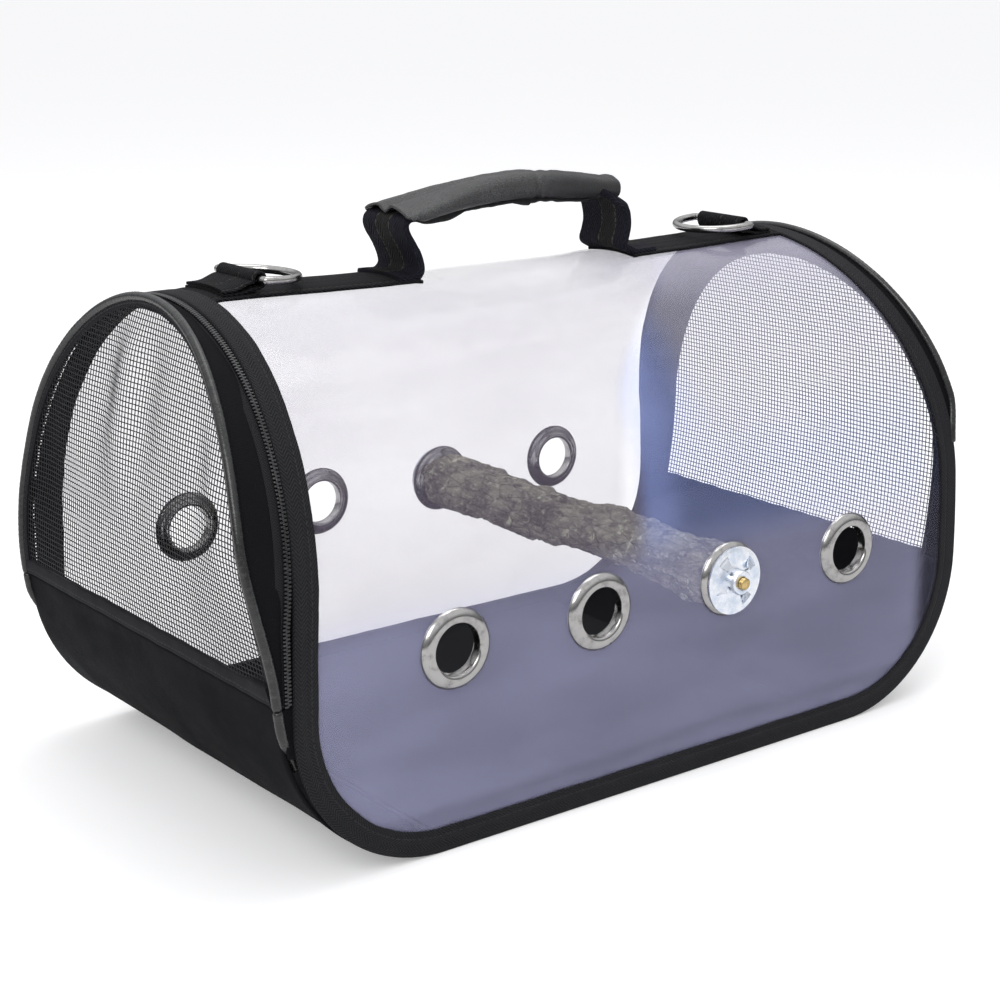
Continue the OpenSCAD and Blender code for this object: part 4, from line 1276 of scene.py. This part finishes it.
def wing(turn):
    """The metal of one window, bent out at the flange's edge and narrower towards its tip."""
    bm = bmesh.new()
    bmesh.ops.create_grid(bm, x_segments=8, y_segments=8, size=0.5)
    for v in bm.verts:
        t, w = v.co.y + 0.5, v.co.x
        bend = radians(30) * ease(t, 0.0, 0.25)
        v.co = (14.0 - 5.8 * t * cos(bend), (6.8 - 4.0 * t) * w, 0.7 + 5.8 * t * sin(bend) * 0.9)
    bmesh.ops.solidify(bm, geom=bm.faces[:], thickness=0.9)
    bmesh.ops.rotate(bm, verts=bm.verts, cent=(0, 0, 0), matrix=Matrix.Rotation(radians(turn), 3, "Z"))
    return bm


def perch_nut(name, wall, body, node):
    """The flange with its rib, hub and wings, stood on the wall."""
    bm = blank(144, 20)
    centres = [(f, f.calc_center_median()) for f in bm.faces]
    cut = [f for f, c in centres if window_of(nut_bore + flange_w * c.y, 2 * pi * c.x)]
    bmesh.ops.delete(bm, geom=cut, context="FACES")
    place(bm, flange_point)
    bmesh.ops.remove_doubles(bm, verts=bm.verts, dist=1e-3)
    bmesh.ops.recalc_face_normals(bm, faces=bm.faces)
    if bm.faces[:][0].normal.z < 0:
        bmesh.ops.reverse_faces(bm, faces=bm.faces)
    bmesh.ops.solidify(bm, geom=bm.faces[:], thickness=1.0)
    turned(bm, [(nut_bore, 0.22), (15.2, 0.22), (15.2, 0.5), (nut_bore, 0.5)], 48)
    turned(bm, [(nut_bore, 1.0), (6.2, 1.0), (6.2, 5.9), (5.7, 6.5), (3.9, 6.7), (nut_bore, 6.3)], 48)
    for turn in wing_turns:
        take(bm, wing(turn))
    even(bm)
    stand(bm, perch_x, wall, nut_foot)
    return piece(name, bm, body, zinc, "zinc", node, sharp=40)


for wall, word in walls:
    perch_nut(word + "_nut_plate", wall, word + "_nut", word + "_perch_nut")

# ---- Top straps ----
# Two runs of 38 mm woven webbing sewn along the crown, from under each opening's binding to the
# handle, with a row of stitches down each edge.
webbing_w = 38.0


def band(name, line, width, thick, body, material, slot, *nodes, sway=0.25, drape=None, narrow=None):
    """Flat webbing swept along a line of points (x, z) at the crown, its section a rounded strip.

    drape(z) says how far the strip follows the vault's curve across its width there, and
    narrow(z) what share of its width it has there.
    """
    run = lengths([Vector(p) for p in line])
    h, w, n = thick / 2, width / 2, len(line)
    across = [-w + 0.5, -w * 0.6, -w * 0.2, w * 0.2, w * 0.6, w - 0.5]
    section = [(y, h) for y in across] + [(w, 0.4 * h), (w, -0.4 * h)]
    section += [(y, -h) for y in across[::-1]] + [(-w, -0.4 * h), (-w, 0.4 * h)]

    def at(u, point):
        i, (y, d) = round(u * (n - 1)), point
        a, b = Vector(line[max(i - 1, 0)]), Vector(line[min(i + 1, n - 1)])
        t = (b - a).normalized()
        up = Vector((-t.y, t.x))
        y *= narrow(line[i][1]) if narrow else 1.0
        p = Vector(line[i]) + up * (d + sway * soft(run[i] / 16, y / 30, 4))
        drop = (arch_r - sqrt(arch_r ** 2 - y * y)) * (drape(line[i][1]) if drape else 0.0)
        return Vector((p.x, y * (1 + 0.006 * soft(run[i] / 9, 6)), p.y - drop)) * mm

    bm = swept(n - 1, section, lambda u: run[round(u * (n - 1))], at)
    return piece(name, bm, body, material, slot, *nodes, sharp=55)


def webbing_finish(name, rows, around, stripe=None):
    """Coarse black polypropylene webbing; rows are stitch rows, as distances in from an edge."""
    m, nt, shader = finish(name, (0.008, 0.008, 0.009), 0.7, Specular_IOR_Level=0.12)
    along, across, _ = parts(where(nt, "UV"))
    folded = calc("MINIMUM", across, sub(around, across))
    lay = put(nt, "CombineXYZ", X=along, Y=folded).outputs[0]
    ribs = use(nt, chevron_weave, Lay=lay, Rib_pitch=0.0026, Column=0.0075, Slope=1.5)
    worn = use(nt, wear, At=where(nt), Colour=(0.0060, 0.0060, 0.0075, 1), Faded=(0.017, 0.017, 0.018, 1), Amount=0.6)
    # the rib crests are painted lighter, a painted highlight on the weave
    tone = mix(ribs["Thread"], worn["Colour"], (0.015, 0.015, 0.017))
    bump = relief(None, ribs["Height"], 1.0, 0.0008)
    if stripe:
        middle = ramp(calc("ABSOLUTE", sub(folded, stripe)), 0.0066, 0.0050)
        tone = mix(mul(middle, 0.4), tone, (0.030, 0.028, 0.024))
        tone = mix(mul(sub(1.0, middle), 0.5), tone, (0.012, 0.012, 0.024))
    for row in rows:
        seam = use(nt, stitch_row, Lay=lay, Row=row, Pitch=0.0036, Width=0.0005)
        tone = mix(seam["Mask"], tone, (0.075, 0.070, 0.058) if stripe else (0.045, 0.043, 0.040))
        bump = relief(None, seam["Height"], 0.8, 0.0008, bump)
    feed(shader, "Base Color", tone)
    feed(shader, "Normal", bump)
    return m


strap_t = 1.6


def strap_top(x):
    """Height of a strap's upper face over the crown."""
    return body_h - crown_sag(x, 0) + 0.1 + strap_t


def strap_line(x0, x1):
    steps = 60
    ends = [x0 + (x1 - x0) * i / steps for i in range(steps + 1)]
    return [(x, strap_top(x) - strap_t / 2 - 0.4 * (1 - ease(min(x - x0, x1 - x), 0, 5))) for x in ends]


webbing = webbing_finish("webbing", (0.0025,), 0.078)
for word, x0, x1 in (("left", -183.0, -68.5), ("right", 66.5, 172.0)):
    band(word + "_top_strap", strap_line(x0, x1), webbing_w, strap_t, "carrier", webbing, "webbing", word + "_strap",
         sway=0.12, drape=lambda z: 1.0)

# ---- Ring tabs and strap rings ----
# Each ring's bar is held in a short loop of webbing whose doubled tail is sewn down on the
# strap. The rings are bent from 4 mm wire, welded and nickel plated, and lie on the straps.
ring_bar_z = 250.5
strap_face_z = 246.4
wire_r = 2.0
ring_gap = 0.3
ring_arc = 22.0
ring_straight = 5.0
ring_bend = 1.2
ring_drop = asin((ring_bar_z - strap_face_z - ring_gap - wire_r) / (ring_straight + ring_arc))
tab_w = 34.0
tab_t = 1.45
tab_rise = 0.75
ring_x = {-1: 158.0, 1: 147.0}


def tab_line(side):
    """Tail on the strap, round the bar and back over the tail, seen from the front."""
    r = wire_r + ring_gap + tab_rise
    x0, z0 = ring_x[side], ring_bar_z
    foot = strap_top(side * x0) + tab_rise
    line = [(x0 + 20.0 - 19.5 * i / 14, foot + (z0 - r - foot) * ease(i / 14, 0.45, 1.0)) for i in range(14)]
    for i in range(21):
        a = -pi / 2 - (2 * pi - 1.25) * i / 20
        line.append((x0 + r * cos(a), z0 + r * sin(a)))
    x1, z1 = line[-1]
    line += [(x1 + (x0 + 19.4 - x1) * i / 14, z1 + (foot + 1.6 - z1) * ease(i / 14, 0.0, 0.75))
             for i in range(1, 15)]
    return [(side * x, z) for x, z in line]


tab_webbing = webbing_finish("tab_webbing", (0.0025, 0.0150), 0.070)
for side, word in ((-1, "left"), (1, "right")):
    band(word + "_tab", tab_line(side), tab_w, tab_t, "carrier", tab_webbing, "webbing", word + "_ring_tab", sway=0.1,
         drape=lambda z: 1 - ease(z, 247.6, 250.0))


def ring_line():
    """The ring's wire once round, its bar along Y through the origin, the ring along -X."""
    half_bar = ring_arc - ring_bend
    bend = [i * pi / 8 for i in range(1, 5)]
    run = [ring_bend + (ring_straight - ring_bend) * i / 4 for i in range(1, 4)]
    pts = [(0.0, -half_bar + 2 * half_bar * i / 24) for i in range(25)]
    pts += [(ring_bend * (cos(a) - 1), half_bar + ring_bend * sin(a)) for a in bend]
    pts += [(-x, ring_arc) for x in run]
    pts += [(-ring_straight - ring_arc * sin(pi * i / 44), ring_arc * cos(pi * i / 44)) for i in range(45)]
    pts += [(-x, -ring_arc) for x in run[::-1]]
    pts += [(ring_bend * (cos(a) - 1), -half_bar - ring_bend * sin(a)) for a in bend[::-1]]
    return pts


def wire_ring(name, side, body, node):
    pts = ring_line()
    n = len(pts)

    def at(u, v):
        i = round(u * n) % n
        a, b, c = Vector(pts[i - 1]), Vector(pts[i]), Vector(pts[(i + 1) % n])
        t = (c - a).normalized()
        k = Vector((-t.y, t.x))
        r = wire_r - (0.1 if abs(b.x) < 0.3 else 0.0)
        return Vector((b.x + k.x * r * cos(2 * pi * v), b.y + k.y * r * cos(2 * pi * v), r * sin(2 * pi * v)))

    bm = blank(n, 20, lambda u, v: (u * 0.15, v * 0.0126))
    place(bm, at)
    bmesh.ops.remove_doubles(bm, verts=bm.verts, dist=1e-3)
    bmesh.ops.recalc_face_normals(bm, faces=bm.faces)
    turn = Matrix.Rotation(0 if side > 0 else pi, 4, "Z") @ Matrix.Rotation(-ring_drop, 4, "Y")
    seat = Matrix.Translation(Vector((side * ring_x[side], 0, ring_bar_z)) * mm)
    bmesh.ops.transform(bm, matrix=seat @ turn @ Matrix.Scale(mm, 4), verts=bm.verts)
    return piece(name, bm, body, nickel, "nickel", node)


for side, word in ((-1, "left"), (1, "right")):
    wire_ring(word + "_wire_ring", side, word + "_ring", word + "_strap_ring")

# ---- Handle legs ----
# The straps' webbing, doubled and sewn down its middle: it folds up from the end of each strap,
# stands a little bowed, and bends over into the end of the grip.
leg_w = 36.0
leg_t = 3.6


def smooth_line(knots, steps):
    """A smooth line through a few knots."""
    line = []
    for i in range(len(knots) - 1):
        p0, p1 = Vector(knots[max(i - 1, 0)]), Vector(knots[i])
        p2, p3 = Vector(knots[i + 1]), Vector(knots[min(i + 2, len(knots) - 1)])
        for k in range(steps):
            t = k / steps
            line.append(tuple(0.5 * (2 * p1 + (p2 - p0) * t + (2 * p0 - 5 * p1 + 4 * p2 - p3) * t * t
                                     + (3 * p1 - p0 - 3 * p2 + p3) * t ** 3)))
    return line + [tuple(knots[-1])]


def foot_height(x):
    return strap_top(x) + leg_t / 2 - strap_t


left_knots = [(-82, foot_height(-82)), (-77, foot_height(-77)), (-72.0, foot_height(-72)), (-68.9, 246.0),
              (-68.4, 249.0), (-70.0, 253.4), (-73.0, 258.6), (-76.0, 263.4), (-77.2, 267.4), (-75.6, 270.4),
              (-70, 272.2)]
right_knots = [(82, foot_height(82)), (76, foot_height(76)), (69.5, foot_height(69)), (64.0, 245.4), (60.8, 247.9),
               (62.2, 252.2), (63.2, 257.0), (62.6, 262.6), (60.6, 267.6), (57.2, 271.6), (51, 274.6)]
leg_webbing = webbing_finish("leg_webbing", (0.0125, 0.0235), 0.078, 0.018)


def leg_drape(z):
    """The foot lies on the crown's curve; the leg above it is flat."""
    return 1 - ease(z, 246, 255)


# each leg is cut where it bends: the left one by its spring line, the right one at its fold
for side, word, knots, cut_z in ((-1, "left", left_knots, 256.5), (1, "right", right_knots, 264.5)):
    whole = smooth_line(knots, 6)
    cut = max(i for i, p in enumerate(whole) if p[1] < cut_z)
    lower, upper = whole[:cut + 1], whole[cut if side < 0 else cut - 2:]
    if side > 0:
        lower, upper = lower[::-1], upper[::-1]
    foot = band(word + "_leg_foot", lower, leg_w, leg_t, None, leg_webbing, "webbing", word + "_handle_leg",
                sway=0.2, drape=leg_drape)
    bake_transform(foot)
    # the left head bends into the grip; the right one is split at its fold, as the grip only hangs there
    head = band(word + "_leg_head", upper, leg_w - 0.4, leg_t - 0.2, None if side < 0 else "grip", leg_webbing,
                "webbing", sway=0.2, narrow=None if side < 0 else lambda z: 1 - 0.42 * ease(z, 267, 272.5))
    if side < 0:
        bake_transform(head)

# ---- Grip ----
# The webbing, folded narrower, inside a sleeve of soft grey leatherette. The sleeve lies flat and
# open at the left, is drawn round and creased past its middle, and its sewn edge waves below.
grip_x0, grip_x1 = -77.5, 64.0
flat_size = (44.0, 10.4)
round_size = (21.5, 14.6)


def grip_axis(x):
    """Height of the grip's middle."""
    t = x - 4.0
    return 280.6 - (9.4 * (-t / 80) ** 1.7 if t < 0 else 6.4 * (t / 68) ** 1.25)


def round_of(x):
    """0 where the sleeve lies flat, at the left end, to 1 where it is drawn round."""
    return ease(x, grip_x0 - 4, -8)


core_line = [(x, grip_axis(x) - 0.6) for x in [-66.0 + 120.0 * i / 50 for i in range(51)]]
band("grip_core", core_line, 14.0, 5.2, "grip", leg_webbing, "webbing", "handle_core", sway=0.1)


def sleeve_outline(x, a):
    """The sleeve's surface at x and angle a round it, as (y, z)."""
    k = round_of(x)
    w = flat_size[0] * (1 - k) + round_size[0] * k - 1.5 * ease(x, 30, 64)
    h = flat_size[1] * (1 - k) + round_size[1] * k - 2.6 * ease(x, 25, 64)
    c, s = cos(a), sin(a)
    power = 0.72 + 0.14 * k
    y = w / 2 * (1 if c > 0 else -1) * abs(c) ** power
    rise = h / 2 * (1 if s > 0 else -1) * abs(s) ** power
    if s > 0:
        groove = 1 - ease(abs(y - 0.5 + 0.05 * (x + 75)), 0.0, 6.5 - 2.5 * k)
        rise -= groove * (3.4 * (1 - ease(x, -80, -20)) + 0.4)
        rise += (1 - k) * 0.9 * cos(2 * pi * y / w)
    crease = 1 - ease(abs(x - 15 - 0.55 * y), 0, 3.5)
    tuck = 1 - ease(abs(x - 22 - 0.8 * y), 0, 3.0)
    wrinkle = 0.5 * soft(x / 13, y / 9, 3) + 0.22 * soft(x / 5, y / 10, 9)
    shrink = 1 - (1.0 * crease + 0.5 * tuck + max(0.0, 0.3 - wrinkle) * 0.5) / 11
    mouth = 0.5 * (1 - ease(min(x - grip_x0, grip_x1 - x), 0, 4))
    return y * shrink, grip_axis(x) + rise * shrink + mouth * s + (0.3 * wrinkle if s > 0 else 0)


def sleeve_point(u, v):
    # the underside starts further in, so the leg's webbing shows as it goes up inside
    start = grip_x0 + 7.5 * (1 + cos(2 * pi * v)) * ease(cos(2 * pi * v), -0.6, 0.6)
    x = start + (grip_x1 - start) * u
    y, z = sleeve_outline(x, -pi / 2 + 2 * pi * v)
    slant = 1.6 * sin(2 * pi * v) * (1 - ease(x, grip_x0, grip_x0 + 12))
    return Vector((x + slant, y, z)) * mm


bm = blank(150, 80, lambda u, v: (u * 0.14, v * 0.075))
place(bm, sleeve_point, joined=True)
leatherette, nt, shader = finish("leatherette", (0.06, 0.06, 0.061), 0.5, Specular_IOR_Level=0.4)
at = where(nt)
# the grooves of the pebble grain are painted darker, painted shade in the recesses
cell = ramp(voronoi(at, 900, "DISTANCE_TO_EDGE"), 0.0, 0.22)
rubbed = clouds(at, 60, 4, 0.6)
tone = mix(ramp(rubbed, 0.38, 0.72), (0.060, 0.060, 0.061), (0.105, 0.105, 0.106))
# painted shade: the sleeve darkens from its middle to the right end
tone = mix(ramp(parts(at)["X"], 0.0, 0.03, 0.0, 0.9), tone, (0.018, 0.018, 0.019))
feed(shader, "Base Color", mix(cell, (0.030, 0.030, 0.031), tone))
feed(shader, "Roughness", ramp(rubbed, 0.3, 0.8, 0.44, 0.60))
creases = clouds(at, 240, 4, 0.6, (0.5, 1.0, 1.0))
relief(shader, cell, 0.45, 0.00025, relief(None, creases, 0.5, 0.001))
sleeve = piece("grip_sleeve", bm, "grip", leatherette, "leatherette", "handle_wrap")
thicken(sleeve, 1.2).modifiers[0].use_even_offset = False


def seam_fin_point(u, v):
    """The sleeve's sewn lower edges: a thin wavy flap that hangs under the grip's front."""
    x = grip_x0 + 10 + (grip_x1 - grip_x0 - 22) * u
    z0 = sleeve_outline(x, -pi / 2)[1]
    ends = ease(min(u, 1 - u), 0, 0.08)
    wave = max(0.0, sin((x + 62) / 9.5)) if x < 8 else 0.5
    depth = (1.0 + 3.2 * wave + 0.6 * soft(x / 9, 2)) * ends * (1 - 0.6 * ease(x, 0, 20))
    return Vector((x, -3.0 + 1.4 * soft(x / 14, 4) - 1.6 * v, z0 + 1.0 - (depth + 1.0) * v)) * mm


bm = blank(110, 4, lambda u, v: (u * 0.116, v * 0.005))
place(bm, seam_fin_point)
sleeve_edge, _, _ = grained("sleeve_edge", (0.014, 0.014, 0.015), 0.6, (700, 3, 0.6), (0.009, 0.009, 0.010),
                            (0.026, 0.026, 0.027), bump=(0.4, 0.0003), Specular_IOR_Level=0.25)
fin = piece("grip_seam", outwards(bm, (0, 0.1, 0.27)), "grip", sleeve_edge, "leatherette")
thicken(fin, 1.4, 0.0)

# ---- Zip slider and pull ----
# Die-cast and nickel plated, parked at the back of the arch: a body over the teeth with a bridge
# and pin, and a flat pull that hangs from the pin.
slider_park = radians(3.3165)
crown_drop = arch_r * (1 - cos(zip_tilt))
slider_at = (Matrix.Translation(Vector((zip_x0 + crown_drop * tan(zip_tilt), 0, spring_z + crown_drop)) * mm)
             @ Matrix.Rotation(zip_tilt, 4, "Y") @ Matrix.Rotation(slider_park, 4, "X")
             @ Matrix.Translation(Vector((0, arch_r, 0)) * mm) @ Matrix.Scale(mm, 4))
seat = 1.971
pin_d = seat + 3.9
half_w = 2.5 - 0.8 - 0.08


def block(bm, low, high, bevel):
    """A rounded block between two corners."""
    verts = bmesh.ops.create_cube(bm, size=1)["verts"]
    bmesh.ops.scale(bm, vec=Vector(high) - Vector(low), verts=verts)
    bmesh.ops.translate(bm, vec=(Vector(high) + Vector(low)) / 2, verts=verts)
    edges = list({e for v in verts for e in v.link_edges})
    bmesh.ops.bevel(bm, geom=edges, offset=bevel, segments=3, profile=0.5, affect="EDGES", material=-1)


def on_pin(bm, verts):
    """A round part laid along X at the pin's place."""
    bmesh.ops.rotate(bm, verts=verts, cent=(0, 0, 0), matrix=Matrix.Rotation(radians(90), 3, "Y"))
    bmesh.ops.translate(bm, verts=verts, vec=(0, pin_d, 0))


def cast(name, bm, body, node):
    """A die-cast part on the zip's arch."""
    even(bm)
    bmesh.ops.transform(bm, matrix=slider_at, verts=bm.verts)
    piece(name, bm, body, nickel, "nickel", node, sharp=40)


bm = bmesh.new()
block(bm, (-2.5, seat, -6), (2.5, seat + 1.8, 6), 0.7)
for side in (-1, 1):
    block(bm, (side * 2.1 - 0.4, seat + 0.9, -1.8), (side * 2.1 + 0.4, seat + 5.4, 1.8), 0.35)
on_pin(bm, bmesh.ops.create_cone(bm, cap_ends=True, segments=28, radius1=0.8, radius2=0.8, depth=5.0)["verts"])
cast("slider_body", bm, "slider", "zip_slider")

bm = bmesh.new()
block(bm, (-half_w, pin_d - 0.6, -8.6), (half_w, pin_d + 0.6, -1.0), 0.3)
block(bm, (-half_w * 1.6, pin_d - 0.6, -23.9), (half_w * 1.6, pin_d + 0.6, -7.4), 0.55)
tube = [bmesh.ops.create_cone(bm, cap_ends=False, segments=32, radius1=r, radius2=r, depth=2 * half_w)["verts"]
        for r in (1.8, 0.9)]
rims = [e for e in bm.edges if e.is_boundary]
bmesh.ops.bridge_loops(bm, edges=[e for e in rims if e.verts[0].co.z > 0])
bmesh.ops.bridge_loops(bm, edges=[e for e in rims if e.is_valid and e.verts[0].co.z < 0])
on_pin(bm, tube[0] + tube[1])
cast("pull_plate", bm, "pull", "zip_pull_tab")

# ---- CAD bounds, as read after the import ----
low, high = cad_box
